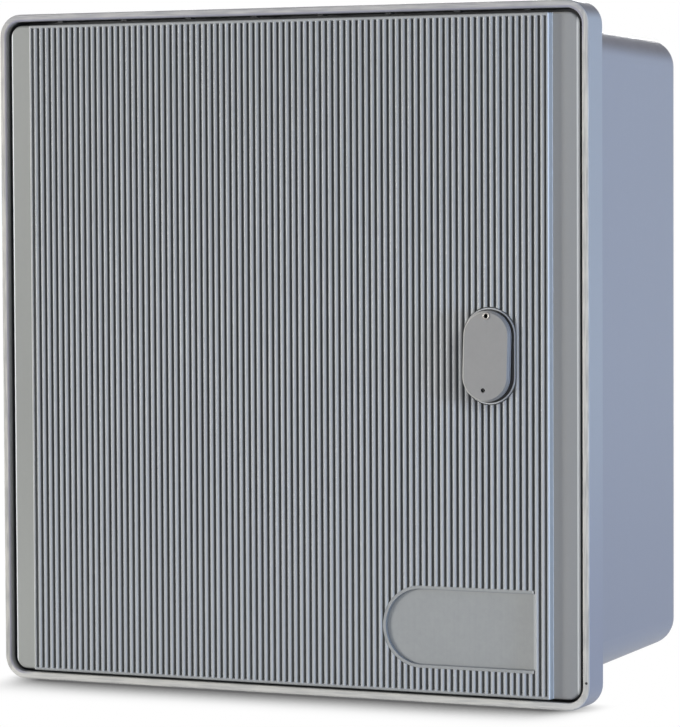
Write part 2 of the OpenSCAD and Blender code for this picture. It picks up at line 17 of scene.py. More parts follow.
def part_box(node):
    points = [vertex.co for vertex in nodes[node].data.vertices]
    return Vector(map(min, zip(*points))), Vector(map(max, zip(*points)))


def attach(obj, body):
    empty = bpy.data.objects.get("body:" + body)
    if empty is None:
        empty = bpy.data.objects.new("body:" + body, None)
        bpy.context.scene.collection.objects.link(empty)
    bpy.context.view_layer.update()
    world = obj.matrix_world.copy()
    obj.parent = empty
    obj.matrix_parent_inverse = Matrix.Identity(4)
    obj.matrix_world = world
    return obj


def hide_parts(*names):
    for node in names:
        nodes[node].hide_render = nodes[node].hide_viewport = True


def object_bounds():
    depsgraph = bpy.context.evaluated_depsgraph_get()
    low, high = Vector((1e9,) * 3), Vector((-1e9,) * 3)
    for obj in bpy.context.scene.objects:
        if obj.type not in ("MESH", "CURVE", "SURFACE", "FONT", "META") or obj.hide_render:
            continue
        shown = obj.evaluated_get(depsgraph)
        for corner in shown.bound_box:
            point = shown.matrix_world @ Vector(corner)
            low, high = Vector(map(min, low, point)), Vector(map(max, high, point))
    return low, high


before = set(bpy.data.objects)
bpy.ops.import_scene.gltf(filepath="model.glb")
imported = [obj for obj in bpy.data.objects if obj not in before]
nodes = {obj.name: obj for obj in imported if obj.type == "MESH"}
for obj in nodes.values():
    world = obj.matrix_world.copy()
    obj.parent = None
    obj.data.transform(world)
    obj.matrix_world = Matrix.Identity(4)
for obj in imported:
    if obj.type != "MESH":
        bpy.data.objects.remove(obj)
cad_box = [list(corner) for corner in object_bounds()]
scene = bpy.context.scene
scene.view_settings.view_transform = "Standard"
MM = 0.001

# %% [markdown]
# The photograph was taken with a long lens from the right of the door and a little above its
# middle. A long lens keeps the ribs nearly parallel in the picture. The camera's place and turn
# were found by fitting the edges of the collar, the body and the ribs, so no shift is needed.

# %% Camera
PICTURE_W, PICTURE_H = 680, 727
SENSOR_MM, LENS_MM = 36.0, 179.79
CAMERA_PLACE = (1.0394, -2.3875, 0.1104)
YAW, DIP, ROLL = math.radians(24.792), math.radians(2.814), math.radians(-0.281)
camera_data = bpy.data.cameras.new("photo_camera")
camera_data.sensor_width = SENSOR_MM
camera_data.lens = LENS_MM
camera = bpy.data.objects.new("photo_camera", camera_data)
scene.collection.objects.link(camera)
camera_turn = (
    Matrix.Rotation(YAW, 4, "Z")
    @ Matrix.Rotation(math.pi / 2 - DIP, 4, "X")
    @ Matrix.Rotation(ROLL, 4, "Z")
)
camera.matrix_world = Matrix.Translation(CAMERA_PLACE) @ camera_turn
scene.camera = camera
print("camera: lens", LENS_MM, "for a picture of", PICTURE_W, "by", PICTURE_H)

# %% [markdown]
# Materials are node trees, and long chains of Math nodes are hard to read as separate lines. Here
# a small class wraps one socket and overloads the arithmetic signs, so that a mask can be written
# as 1 - edge.


# %% Arithmetic on sockets
class Wire:
    """One output socket. Arithmetic on it adds Math nodes to its tree."""

    def __init__(self, finish, socket):
        self.finish, self.socket = finish, socket

    def math(self, operation, *others):
        return self.finish.node("ShaderNodeMath", {"operation": operation}, dict(enumerate(others)))

    def __add__(self, other):
        return self.math("ADD", self, other)

    def __radd__(self, other):
        return self.math("ADD", other, self)

    def __sub__(self, other):
        return self.math("SUBTRACT", self, other)

    def __rsub__(self, other):
        return self.math("SUBTRACT", other, self)

    def __mul__(self, other):
        return self.math("MULTIPLY", self, other)

    def __rmul__(self, other):
        return self.math("MULTIPLY", other, self)

    def __pow__(self, other):
        return self.math("POWER", self, other)

    def __abs__(self):
        return self.math("ABSOLUTE", self)

    def most(self, other):
        return self.math("MAXIMUM", self, other)

    def ramp(self, start, end):
        """0 at start, 1 at end, smooth between; start may be the larger."""
        return self.finish.node(
            "ShaderNodeMapRange",
            {"interpolation_type": "SMOOTHSTEP"},
            {"Value": self, "From Min": start, "From Max": end},
        )

    def between(self, start, end, soft):
        """1 from start to end, falling to 0 over a soft edge outside them."""
        return self.ramp(start - soft, start) * self.ramp(end + soft, end)


def length(*parts):
    """How long a step with these parts is."""
    total = parts[0] ** 2
    for part in parts[1:]:
        total = total + part**2
    return total**0.5


print("wires: sums, products, powers, ramps and lengths")

# %% [markdown]
# Every other node comes from one method, which takes its type, its settings and its inputs. A
# finish is a tree of such nodes around one Principled shader. It starts from the place on the
# piece, in Object coordinates, and all masks and noises are made from that.


# %% Node trees and finishes
class Nodes:
    """A node tree that makes its nodes from plain values and wires."""

    def __init__(self, tree):
        self.tree = tree

    def node(self, kind, settings=None, inputs=None, out=0):
        made = self.tree.nodes.new(kind)
        for key, value in (settings or {}).items():
            setattr(made, key, value)
        for key, value in (inputs or {}).items():
            if isinstance(value, Wire):
                self.tree.links.new(value.socket, made.inputs[key])
            else:
                made.inputs[key].default_value = value
        return Wire(self, made.outputs[out])

    def mix(self, share, first, second):
        """Colour between two colours."""
        inputs = {0: share, 6: first, 7: second}
        return self.node("ShaderNodeMix", {"data_type": "RGBA"}, inputs, out=2)

    def axes(self, vector):
        """The three numbers of a vector."""
        apart = self.tree.nodes.new("ShaderNodeSeparateXYZ")
        self.tree.links.new(vector.socket, apart.inputs[0])
        return [Wire(self, socket) for socket in apart.outputs]

    def seen_directly(self):
        """1 for camera, glossy and transmission rays, which show the white background."""
        rays = ("Is Camera Ray", "Is Glossy Ray", "Is Transmission Ray")
        camera_ray, glossy, through = (self.node("ShaderNodeLightPath", out=ray) for ray in rays)
        return camera_ray.most(glossy).most(through)


class Finish(Nodes):
    """A procedural material around one Principled shader."""

    def __init__(self, name, **constants):
        self.material = bpy.data.materials.new(name)
        self.material.use_nodes = True
        super().__init__(self.material.node_tree)
        self.shader = self.tree.nodes["Principled BSDF"]
        for socket, value in constants.items():
            self.shader.inputs[socket.replace("_", " ")].default_value = value
        self.place = self.node("ShaderNodeTexCoord", out="Object")
        self.x, self.y, self.z = self.axes(self.place)

    def beyond(self, half_x, half_z, radius):
        """How far a place lies outside a rounded rectangle round the middle; negative inside."""
        past_x = (abs(self.x) - (half_x - radius)).most(0)
        past_z = (abs(self.z) - (half_z - radius)).most(0)
        return length(past_x, past_z) - radius

    def noise(self, scale, detail=2.0, stretch=(1, 1, 1), shift=(0, 0, 0)):
        """Noise from -0.5 to 0.5 or so, with features about 1 / scale metres across."""
        where = self.node(
            "ShaderNodeMapping", None, {"Vector": self.place, "Scale": stretch, "Location": shift}
        )
        spread = {"Vector": where, "Scale": scale, "Detail": detail}
        return self.node("ShaderNodeTexNoise", None, spread) - 0.5

    def bump(self, height, strength, distance):
        inputs = {"Height": height, "Strength": strength, "Distance": distance}
        return self.node("ShaderNodeBump", None, inputs)

    def lay(self, share, tone):
        """Lays a tone over the base colour, as far as the share says."""
        self.base = self.mix(share, self.base, tone)

    def set(self, **links):
        for socket, wire in links.items():
            self.tree.links.new(wire.socket, self.shader.inputs[socket.replace("_", " ")])
        return self.material


def colour(red, green, blue):
    """A colour written as it looks on screen, 0 to 255, as the linear numbers shaders use."""
    linear = []
    for part in (red, green, blue):
        part /= 255
        linear.append(part / 12.92 if part <= 0.04045 else ((part + 0.055) / 1.055) ** 2.4)
    return (*linear, 1.0)


print("colours: mid grey is", round(colour(128, 128, 128)[0], 3), "in linear light")

# %% [markdown]
# The studio is a pale sweep with no edges: a floor under the cabinet, and white wherever the
# camera looks past the object. The floor darkens only in front of the collar's foot, as the soft
# contact shadow in the photograph does. Ambient occlusion measures how near the object is, and
# its result is shown to the camera as a glow, so that the white stays white.

# %% Floor
FLOOR_Z = cad_box[0][2]
FLOOR_SIZE, FLOOR_DROP = 12.0, 0.0004
SHADOW_REACH = 0.085
SHADOW_DEPTH, SHADOW_SIDES = (-0.180, -0.206), (0.224, 0.185)
FLOOR_BOUNCE = 0.15
SHADOW_TONE, WHITE = colour(104, 104, 104), colour(255, 255, 255)
bpy.ops.object.select_all(action="DESELECT")
bpy.ops.mesh.primitive_plane_add(size=FLOOR_SIZE, location=(0, 0, FLOOR_Z - FLOOR_DROP))
floor = bpy.context.object
floor.name = "studio_floor"


def studio_floor():
    """White to the camera with a contact shadow in front; other rays get some of it as bounce."""
    finish = Finish("studio_floor_white", Roughness=0.9)
    finish.shader.inputs["Base Color"].default_value = colour(235, 235, 235)
    near = finish.node(
        "ShaderNodeAmbientOcclusion", {"samples": 16}, {"Distance": SHADOW_REACH}, out="AO"
    )
    in_front = finish.y.ramp(*SHADOW_DEPTH) * abs(finish.x).ramp(*SHADOW_SIDES)
    shade = near.ramp(0.98, 0.42) * in_front
    glow = finish.node(
        "ShaderNodeEmission", None, {"Color": finish.mix(shade, WHITE, SHADOW_TONE)}
    )
    lit = Wire(finish, finish.shader.outputs[0])
    share = finish.seen_directly().most(FLOOR_BOUNCE)
    both = finish.node("ShaderNodeMixShader", None, {0: share, 1: lit, 2: glow})
    exit_node = finish.tree.nodes["Material Output"]
    finish.tree.links.new(both.socket, exit_node.inputs["Surface"])
    return finish.material


floor.data.materials.append(studio_floor())
print("floor at", FLOOR_Z)

# %% [markdown]
# The world gives the soft light from all round. Rays that only carry light get a dimmer, slightly
# bluish level that falls off a little overhead; the camera and the reflections get plain white.

# %% World
AMBIENT = 0.335
AMBIENT_TINT = (0.95, 0.98, 1.03, 1)
OVERHEAD = 0.6
OVERHEAD_TINT = (0.80, 0.82, 1.12, 1)
OVERHEAD_FROM, OVERHEAD_TO = 0.0, 0.8
world = bpy.data.worlds.new("studio_white")
scene.world = world
world.use_nodes = True
sky = Nodes(world.node_tree)
sky_height = sky.axes(sky.node("ShaderNodeTexCoord", out="Generated"))[2]
sky_high = sky_height.ramp(OVERHEAD_FROM, OVERHEAD_TO)
sky_seen = sky.seen_directly()
sky_level = sky_seen + (1 - sky_seen) * (1 - sky_high * (1 - OVERHEAD)) * AMBIENT
sky_tint = sky.mix(sky_seen, sky.mix(sky_high, AMBIENT_TINT, OVERHEAD_TINT), WHITE)
background = sky.tree.nodes["Background"]
sky.tree.links.new(sky_tint.socket, background.inputs["Color"])
sky.tree.links.new(sky_level.socket, background.inputs["Strength"])
print("world: ambient", AMBIENT, "overhead", AMBIENT * OVERHEAD)

# %% [markdown]
# Four soft lamps shape the object. The left shoulders of the ribs are bright in the photograph, so
# the main lamp stands front left, far off, and its light hardly falls off over the door. A weak
# fill near the camera opens the shadows. The box's right side is bluish, so a small cool lamp
# stands beside it, so low over the door's plane that the rim keeps its light off the door's
# margin. The fourth lights the back, which the photograph doesn't show.

# %% Lamps
AIM = Vector((0.0, -0.12, 0.0))
NEUTRAL, WARM, COOL = (1.0, 1.0, 1.0), (1.0, 0.99, 0.96), (0.42, 0.62, 1.0)


def soft_lamp(name, place, size, watts, tint=NEUTRAL):
    """A rectangular lamp, its size in metres, turned towards the middle of the cabinet."""
    data = bpy.data.lights.new(name, "AREA")
    data.shape = "RECTANGLE"
    data.size, data.size_y = size
    data.energy, data.color = watts, tint
    lamp = bpy.data.objects.new(name, data)
    scene.collection.objects.link(lamp)
    turn = (AIM - Vector(place)).to_track_quat("-Z", "Y").to_matrix().to_4x4()
    lamp.matrix_world = Matrix.Translation(place) @ turn


soft_lamp("front_left_lamp", (-8.4, -7.05, 0.6), size=(4.0, 2.0), watts=810.0, tint=WARM)
soft_lamp("cool_right_lamp", (2.9, -0.6, 0.05), size=(0.4, 0.6), watts=53.0, tint=COOL)
soft_lamp("front_fill_lamp", (3.6, -8.0, 0.4), size=(3.0, 3.0), watts=190.0)
soft_lamp("back_lamp", (-3.5, 8.0, 1.4), size=(3.0, 3.0), watts=460.0)

# %% [markdown]
# Sheet moulding compound is a polyester paste full of chopped glass. Out of the press it is an
# even grey with a faint cloudiness, a fine grain and a dull shine like eggshell paint. An even
# colour would look like a drawing, so the finish layers clouds of two sizes, faint lines in the
# direction the tool opens, and a fine bump.

# %% Moulded grey
TONE = colour(150, 152, 150)
DARK = colour(140, 142, 141)
PALE = colour(160, 161, 158)
EGGSHELL = 0.42


def moulded_grey(name, tone=TONE, dark=DARK, pale=PALE, gloss=EGGSHELL):
    """Layers that the box, the door and the lock's mouldings share."""
    finish = Finish(name, IOR=1.46)
    clouds = finish.noise(55, 3.0)
    mottle = finish.noise(330, 4.0, shift=(3, 1, 2))
    grain = finish.noise(2600, 2.0)
    drawn = finish.noise(700, 2.0, stretch=(1, 1, 0.03))
    share = 0.5 + 0.45 * clouds + 0.55 * mottle + 0.35 * grain + 0.3 * drawn
    base = finish.mix(share.ramp(0.15, 0.85), dark, pale)
    finish.base = finish.mix(0.55, base, tone)
    finish.rough = gloss + 0.10 * mottle + 0.12 * grain + 0.06 * clouds
    finish.height = 0.6 * mottle + 0.5 * grain
    return finish


def finish_off(finish, relief=0.16):
    """Links the layers to the shader."""
    normal = finish.bump(finish.height, relief, 0.25 * MM)
    return finish.set(Base_Color=finish.base, Roughness=finish.rough, Normal=normal)


def dress(node_name, material):
    """Gives a node of the construction model its finish."""
    materials = nodes[node_name].data.materials
    materials.clear()
    materials.append(material)


print("moulded grey tone", [round(v, 3) for v in TONE])

# %% [markdown]
# The front of the rim is where the flash was trimmed off after pressing. It is paler than the rest
# and has short scratches along its run, so on the sides they stand upright and above and below the
# door they lie flat. The rim is picked out by its place in front of the gutter. A bluish band inside
# its upper and left runs is painted shade, and deep in the gutter the finish is painted dark as shade.

# %% Rim and gutter
BOX_LOW, BOX_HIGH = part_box("cabinet_box")
RIM_FRONT_Y = BOX_LOW.y
RIM_W = 5.0 * MM
RIM_RUN_Z, RIM_FADE_Z = (0.217, 0.223), (0.21, -0.21)
UPPER_Z, HINGE_SIDE_X = (0.19, 0.21), (-0.19, -0.205)


def rim_scratches(finish):
    """Noise drawn out along the rim."""
    upright = finish.noise(900, 3.0, stretch=(1, 1, 0.06))
    flat = finish.noise(900, 3.0, stretch=(0.06, 1, 1), shift=(1, 4, 2))
    past_corner = abs(finish.x) - abs(finish.z) * (BOX_HIGH.x / BOX_HIGH.z)
    on_side = past_corner.ramp(-6.0 * MM, 6.0 * MM)
    return upright * on_side + flat * (1 - on_side)


def sand_rim(finish, front, inward):
    """Streaked rim, darker above the door, with painted shade as a bluish band inside its upper and
    left runs.
    """
    scratch = rim_scratches(finish)
    worn = finish.noise(40, 3.0, shift=(5, 5, 1))
    streaks = (0.5 + scratch * 1.5 + worn * 0.8).ramp(0.1, 0.9)
    finish.lay(front * 0.9, finish.mix(streaks, colour(160, 159, 156), colour(206, 203, 194)))
    lower = finish.z.ramp(*RIM_FADE_Z)
    run_tone = finish.mix(lower, colour(142, 141, 148), colour(226, 224, 216))
    finish.lay(front * abs(finish.z).ramp(*RIM_RUN_Z) * 0.35, run_tone)
    # Painted shade: a bluish band on the inner edge of the upper and left runs.
    inner_shade = inward.ramp(RIM_W - 1.9 * MM, RIM_W - 1.1 * MM) * front
    inner_shade = inner_shade * finish.z.ramp(*UPPER_Z).most(finish.x.ramp(*HINGE_SIDE_X))
    finish.lay(inner_shade * 0.75, colour(138, 137, 152))
    finish.rough = finish.rough + front * (0.14 + scratch * 0.2)
    finish.height = finish.height + front * scratch * 2.0


def shade_gutter(finish, inward):
    """Painted shade, dark deep behind the rim."""
    # Painted shade: the gutter is painted near black.
    gutter = inward.ramp(RIM_W - 0.6 * MM, RIM_W - 0.2 * MM)
    deep = finish.y.between(RIM_FRONT_Y + 5.5 * MM, RIM_FRONT_Y + 20.5 * MM, 2.5 * MM)
    finish.lay(gutter * deep * 0.9, colour(26, 26, 32))


print("rim: front at", round(RIM_FRONT_Y, 4), "width", RIM_W)

# %% [markdown]
# The outer sides are found by their distance from two rounded rectangles: the collar's outline, and
# the body's, which shrinks towards the wall with the draft and rolls in at the rear edge. Painted
# shade makes them darker low down and darkens their upper rounded edges. A dark speck sits on the
# rim's lower right corner.

# %% Sides and box finish
COLLAR_R = 15.5 * MM
COLLAR_BACK_Y = RIM_FRONT_Y + 24.0 * MM
BODY_STEP = 14.0 * MM
BODY_X, BODY_Z = BOX_HIGH.x - BODY_STEP, BOX_HIGH.z - BODY_STEP
BODY_R, HEEL_R = 23.0 * MM, 16.5 * MM
DRAFT = math.radians(1.2)
SIDE_FADE_Z = (0.0, -0.2)
SPECK = (0.2126, -0.2240, -0.2090)


def upper_edge(drop, radius):
    """1 high on a rounded edge, 0 on the flat top and the side; drop is the depth below the top."""
    return drop.ramp(0.8 * radius, 0.3 * radius) * drop.ramp(0.01 * radius, 0.1 * radius)


def tone_sides(finish, front, outward):
    """Outer sides of body and collar, with painted shade low down and along their upper edges."""
    taper = (finish.y - COLLAR_BACK_Y) * math.tan(DRAFT)
    from_wall = finish.beyond(BODY_X, BODY_Z, BODY_R) + taper + HEEL_R
    from_heel = length(from_wall.most(0), (finish.y + HEEL_R).most(0)) - HEEL_R
    body_skin = abs(from_heel).ramp(1.6 * MM, 0.8 * MM)
    collar_skin = abs(outward).ramp(1.6 * MM, 0.8 * MM) * (1 - front)
    # Painted shade: the sides darken towards the bottom.
    low = finish.z.ramp(*SIDE_FADE_Z)
    finish.lay(body_skin * 0.6, finish.mix(low, colour(138, 140, 150), colour(122, 124, 138)))
    finish.lay(collar_skin * 0.6, finish.mix(low, colour(158, 162, 166), colour(124, 126, 142)))
    # Painted shade on the upper rounded edges of body and collar.
    upper_shade = body_skin * upper_edge(BODY_Z - taper - finish.z, BODY_R)
    upper_shade = upper_shade.most(collar_skin * upper_edge(BOX_HIGH.z - finish.z, COLLAR_R))
    finish.lay(upper_shade * 0.9, colour(44, 44, 62))


def box_finish():
    finish = moulded_grey("moulded_box_grey")
    front = finish.y.ramp(RIM_FRONT_Y + 1.0 * MM, RIM_FRONT_Y + 0.2 * MM)
    outward = finish.beyond(BOX_HIGH.x, BOX_HIGH.z, COLLAR_R)
    inward = 0 - outward
    sand_rim(finish, front, inward)
    shade_gutter(finish, inward)
    tone_sides(finish, front, outward)
    from_speck = length(finish.x - SPECK[0], finish.y - SPECK[1], finish.z - SPECK[2])
    finish.lay(from_speck.ramp(1.1 * MM, 0.7 * MM), colour(30, 28, 28))
    return finish_off(finish)


dress("cabinet_box", box_finish())
print("box: moulded grey, body half width", round(BODY_X, 4), "at the collar")

# %% [markdown]
# On the door, hands and rags keep the rounded tops of the ribs smooth and a little shiny, while
# dust stays between them. Height above the floor between the ribs tells the two apart. The tops also
# get a painted highlight, and the gaps painted shade along with the dust. Low down the painted
# highlight is paler and the gaps lighter, and round the lock a painted shadow dims both.

# %% Ribs of the door
DOOR_LOW, DOOR_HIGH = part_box("door_panel")
RIB_TOP_Y = DOOR_LOW.y
BLOCK_X = DOOR_HIGH.x - 18.0 * MM
RIB_HIGHLIGHT_FADE_Z, GAP_SHADE_FADE_Z = (0.22, -0.22), (-0.06, -0.2)
COVER_LOW, COVER_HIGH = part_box("lock_cover")
LOCK_MID_X = (COVER_LOW.x + COVER_HIGH.x) / 2
LOCK_SHADOW_X, LOCK_SHADOW_Z, LOCK_SHADOW_HALF = LOCK_MID_X - 6.0 * MM, -8.0 * MM, 12.0 * MM
LOCK_SHADOW_REACH = (30.0 * MM, 12.0 * MM)


def paint_rib_light_and_dust(finish, off_plate, outside):
    """Worn tops with a painted highlight and dusty gaps with painted shade, in colour and in shine, and
    a painted shadow round the lock.
    """
    in_block = abs(finish.x).ramp(BLOCK_X - 1.6 * MM, BLOCK_X - 2.0 * MM)
    in_block = in_block * finish.z.between(DOOR_LOW.z + 2.2 * MM, DOOR_HIGH.z - 2.2 * MM, 0.4 * MM)
    ribbed = in_block * off_plate * outside
    gap_dust_and_shade = ribbed * finish.y.ramp(RIB_TOP_Y + 0.4 * MM, RIB_TOP_Y + 2.1 * MM)
    tops_wear_and_highlight = ribbed * finish.y.ramp(RIB_TOP_Y + 0.6 * MM, RIB_TOP_Y + 0.1 * MM)
    low = finish.z.ramp(*RIB_HIGHLIGHT_FADE_Z)
    # Painted highlight: the rib tops are paler, more so low down.
    finish.lay(tops_wear_and_highlight * 0.6, finish.mix(low, colour(150, 153, 154), colour(196, 199, 200)))
    # Dust and painted shade between the ribs, thinner low down.
    finish.lay(gap_dust_and_shade * (0.8 - finish.z.ramp(*GAP_SHADE_FADE_Z) * 0.22), colour(52, 57, 62))
    # Painted shadow round the lock cover, reaching left and down from it.
    past_end = (abs(finish.z - LOCK_SHADOW_Z) - LOCK_SHADOW_HALF).most(0) * 1.4
    lock_shadow = length(finish.x - LOCK_SHADOW_X, past_end).ramp(*LOCK_SHADOW_REACH) * outside
    finish.lay(lock_shadow * 0.45, colour(62, 65, 70))
    even = EGGSHELL + (finish.rough - EGGSHELL) * 0.4
    finish.rough = even + gap_dust_and_shade * 0.25 - tops_wear_and_highlight * (0.08 + low * 0.12)


print("ribs: tops at", round(RIB_TOP_Y, 4), "block half width", round(BLOCK_X, 4))

# %% [markdown]
# The margins beside the ribs are smooth. The hinge-side margin gets painted shade, lighter low down.
# The one that opens gets painted light beside the rib block, where the block's shadow falls, and is
# darker towards its edge. Corners that stand out get a painted highlight: the door's edges and the
# ends of the rib block, whose walls also get a paler tone as painted light. The flanks in the gap
# get painted shade.

# %% Margins of the door
MARGIN_Y = RIB_TOP_Y + 7.0 * MM
HINGE_FADE_Z = (-0.02, -0.2)


def tone_margins(finish):
    """Margins with painted shade and painted light, painted highlights on the corners of door and
    block, and painted shade on the flanks.
    """
    # Painted shade on the hinge-side margin, lighter low down.
    on_left = finish.x.ramp(-BLOCK_X, -BLOCK_X - 0.4 * MM)
    low = finish.z.ramp(*HINGE_FADE_Z)
    finish.lay(on_left * 0.7, finish.mix(low, colour(136, 138, 133), colour(154, 156, 150)))
    # Painted light beside the rib block against its shadow, darker towards the free edge.
    on_right = finish.x.ramp(BLOCK_X, BLOCK_X + 0.4 * MM)
    block_shadow_lift = finish.x.ramp(BLOCK_X + 1.0 * MM, DOOR_HIGH.x - 4.0 * MM)
    finish.lay(on_right * 0.8, finish.mix(block_shadow_lift, colour(172, 169, 162), colour(136, 139, 142)))
    # Painted highlight along the door's outer edges.
    edge = abs(finish.x).ramp(DOOR_HIGH.x - 1.7 * MM, DOOR_HIGH.x - 1.3 * MM)
    edge = edge * finish.y.ramp(MARGIN_Y + 2.0 * MM, MARGIN_Y + 1.6 * MM)
    finish.lay(edge * 0.85, colour(236, 239, 238))
    # Paler tone on the rib block's end walls, painted light.
    end_wall_light = abs(finish.x).between(BLOCK_X - 0.7 * MM, BLOCK_X + 0.1 * MM, 0.05 * MM)
    finish.lay(end_wall_light * 0.3, colour(186, 184, 178))
    # Painted highlight along the front and back edges of those walls.
    crest_highlight = finish.y.ramp(RIB_TOP_Y + 1.1 * MM, RIB_TOP_Y + 0.7 * MM)
    crest_highlight = crest_highlight.most(finish.y.ramp(MARGIN_Y - 0.9 * MM, MARGIN_Y - 0.5 * MM)) * end_wall_light
    finish.lay(crest_highlight * 0.8, colour(226, 228, 226))
    # Painted shade on the door's flanks in the gap.
    flank_shade = abs(finish.x).ramp(DOOR_HIGH.x - 0.4 * MM, DOOR_HIGH.x - 0.1 * MM)
    flank_shade = flank_shade * finish.y.between(MARGIN_Y + 2.1 * MM, MARGIN_Y + 8.0 * MM, 0.4 * MM)
    finish.lay(flank_shade * 0.8, colour(34, 34, 40))


print("margins: front at", round(MARGIN_Y, 4))

# %% [markdown]
# The plate has one half-round end, and no dust or painted shade lies on it. Its straight end gets a
# painted highlight, and a painted shade line runs inside its border. The hole for a seal's wire goes
# through the lock's cover, which hangs a little askew from its rivet, and through the base. Inside the
# hole and where it ends on the door, it is painted black as shade.

# %% Plate and door finish
PLATE_X, PLATE_Z = (0.0722, 0.1782), (-0.2041, -0.1505)
PLATE_R = (PLATE_Z[1] - PLATE_Z[0]) / 2
ASKEW = Matrix.Rotation(math.radians(-1.6), 4, "Z")
SEAL_DROP = Vector((-1.2, -48.0, 0))
rivet_mid = sum(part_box("cover_rivet"), Vector()) / 2
seal_step = ASKEW @ SEAL_DROP * MM
SEAL_WIRE_X, SEAL_WIRE_Z = rivet_mid.x + seal_step.x, rivet_mid.z + seal_step.y
HOLE_BLACK = colour(16, 16, 18)


def line_plate(finish, on_plate, from_middle):
    """A painted highlight on the straight end and a painted shade line inside the plate's border."""
    # Painted highlight on the plate's straight end.
    end = on_plate * finish.x.ramp(PLATE_X[1] - 1.0 * MM, PLATE_X[1] - 0.7 * MM)
    finish.lay(end * 0.6, colour(200, 202, 202))
    # Painted shade: a dark line inside the border.
    line = from_middle.between(PLATE_R - 2.5 * MM, PLATE_R - 1.9 * MM, 0.2 * MM)
    finish.lay(line * on_plate * 0.5, colour(104, 108, 112))


def hole_shade(finish):
    """1 within the seal wire's hole, and where it ends on the door: the place of its painted shade."""
    away = length(finish.x - SEAL_WIRE_X, finish.z - SEAL_WIRE_Z)
    return away.ramp(1.52 * MM, 1.42 * MM)


def door_finish():
    finish = moulded_grey("moulded_door_grey")
    past_round = (PLATE_X[0] + PLATE_R - finish.x).most(0)
    from_middle = length(past_round, finish.z - (PLATE_Z[0] + PLATE_R))
    on_plate = from_middle.ramp(PLATE_R + 0.3 * MM, PLATE_R)
    on_plate = on_plate * finish.x.ramp(PLATE_X[1] + 0.3 * MM, PLATE_X[1])
    outside = finish.y.ramp(RIB_TOP_Y + 4.2 * MM, RIB_TOP_Y + 3.2 * MM)
    paint_rib_light_and_dust(finish, 1 - on_plate, outside)
    tone_margins(finish)
    line_plate(finish, on_plate, from_middle)
    # Painted shade: black in the seal wire's hole.
    finish.lay(hole_shade(finish) * outside, HOLE_BLACK)
    return finish_off(finish, relief=0.07)


dress("door_panel", door_finish())
print("door: plate", PLATE_X, "by", PLATE_Z, "seal wire at", SEAL_WIRE_X, SEAL_WIRE_Z)

# %% [markdown]
# The lock's mouldings have the same grey, a little warmer. The cover's bevel gets a painted highlight
# at the left and painted shade at the right, its side painted shade, and its rear edge a painted
# highlight. Painted shade fills the base's groove and the hole for the seal's wire, and the base's
# lip gets a painted highlight.

# %% Lock finishes
LOCK_GREYS = colour(141, 140, 137), colour(136, 135, 132), colour(147, 145, 142)
LOCK_GLOSS = 0.4


def cover_grey():
    finish = moulded_grey("moulded_cover_grey", *LOCK_GREYS, LOCK_GLOSS)
    # Painted highlight on the left of the bevel and painted shade on its right.
    right = finish.x.ramp(LOCK_MID_X - 6.0 * MM, LOCK_MID_X + 6.0 * MM)
    bevel = finish.y.between(COVER_LOW.y + 0.15 * MM, COVER_LOW.y + 1.0 * MM, 0.15 * MM)
    finish.lay(bevel * 0.6, finish.mix(right, colour(200, 199, 192), colour(104, 104, 102)))
    # Painted shade on the cover's side.
    side = finish.y.ramp(COVER_LOW.y + 1.1 * MM, COVER_LOW.y + 1.5 * MM)
    finish.lay(side * 0.7, colour(92, 92, 94))
    # Painted highlight along the cover's rear edge.
    foot = finish.y.ramp(COVER_HIGH.y - 0.7 * MM, COVER_HIGH.y - 0.4 * MM)
    finish.lay(foot * 0.7, colour(206, 205, 202))
    # Painted shade: black in the seal wire's hole.
    finish.lay(hole_shade(finish), HOLE_BLACK)
    return finish_off(finish)


def base_grey():
    finish = moulded_grey("moulded_base_grey", *LOCK_GREYS, LOCK_GLOSS)
    low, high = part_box("lock_escutcheon")
    radius = (high.x - low.x) / 2
    past_end = (abs(finish.z) - (high.z - radius)).most(0)
    out = length(finish.x - (low.x + high.x) / 2, past_end)
    # Painted highlight on the base's lip.
    lip = out.ramp(radius - 0.9 * MM, radius - 0.8 * MM)
    lip = lip * finish.y.ramp(low.y + 0.5 * MM, low.y + 0.2 * MM)
    finish.lay(lip * 0.6, colour(196, 198, 198))
    # Painted shade in the groove under the cover and in the seal wire's hole.
    groove_and_hole_shade = out.between(radius - 5.0 * MM, radius - 0.95 * MM, 0.05 * MM).most(hole_shade(finish))
    finish.lay(groove_and_hole_shade * 0.9, colour(20, 20, 23))
    return finish_off(finish)


cover_finish = cover_grey()
base_finish = base_grey()
print("lock finishes:", cover_finish.name, "and", base_finish.name)

# %% [markdown]
# The small hardware is zinc-plated steel with faint spangle, a dulled nickel rivet, brass, black
# rubber with a grey bloom, and an ivory mounting board with flecks of filler. Each varies a little
# in colour and shine over the surface, because even new plating is never quite even.


# %% Hardware finishes
def plated(name, tone, tint, gloss):
    finish = Finish(name, Metallic=1.0)
    spangle = finish.noise(900, 3.0)
    haze = finish.noise(120, 3.0, shift=(2, 2, 7))
    wire = finish.noise(4200, 2.0, stretch=(1, 1, 0.1))
    base = finish.mix((0.5 + 0.8 * spangle + haze).ramp(0.1, 0.9), tone, tint)
    rough = gloss + 0.22 * spangle + 0.16 * haze
    normal = finish.bump(spangle + 0.6 * wire, 0.12, 0.2 * MM)
    return finish.set(Base_Color=base, Roughness=rough, Normal=normal)


def black_rubber():
    finish = Finish("rubber_black", IOR=1.5)
    bloom = finish.noise(170, 4.0)
    grain = finish.noise(2200, 2.0)
    share = (0.4 + bloom + grain * 0.4).ramp(0.1, 1.0)
    base = finish.mix(share, colour(26, 26, 28), colour(54, 54, 56))
    normal = finish.bump(grain + bloom, 0.2, 0.3 * MM)
    return finish.set(Base_Color=base, Roughness=0.62 + grain * 0.3, Normal=normal)


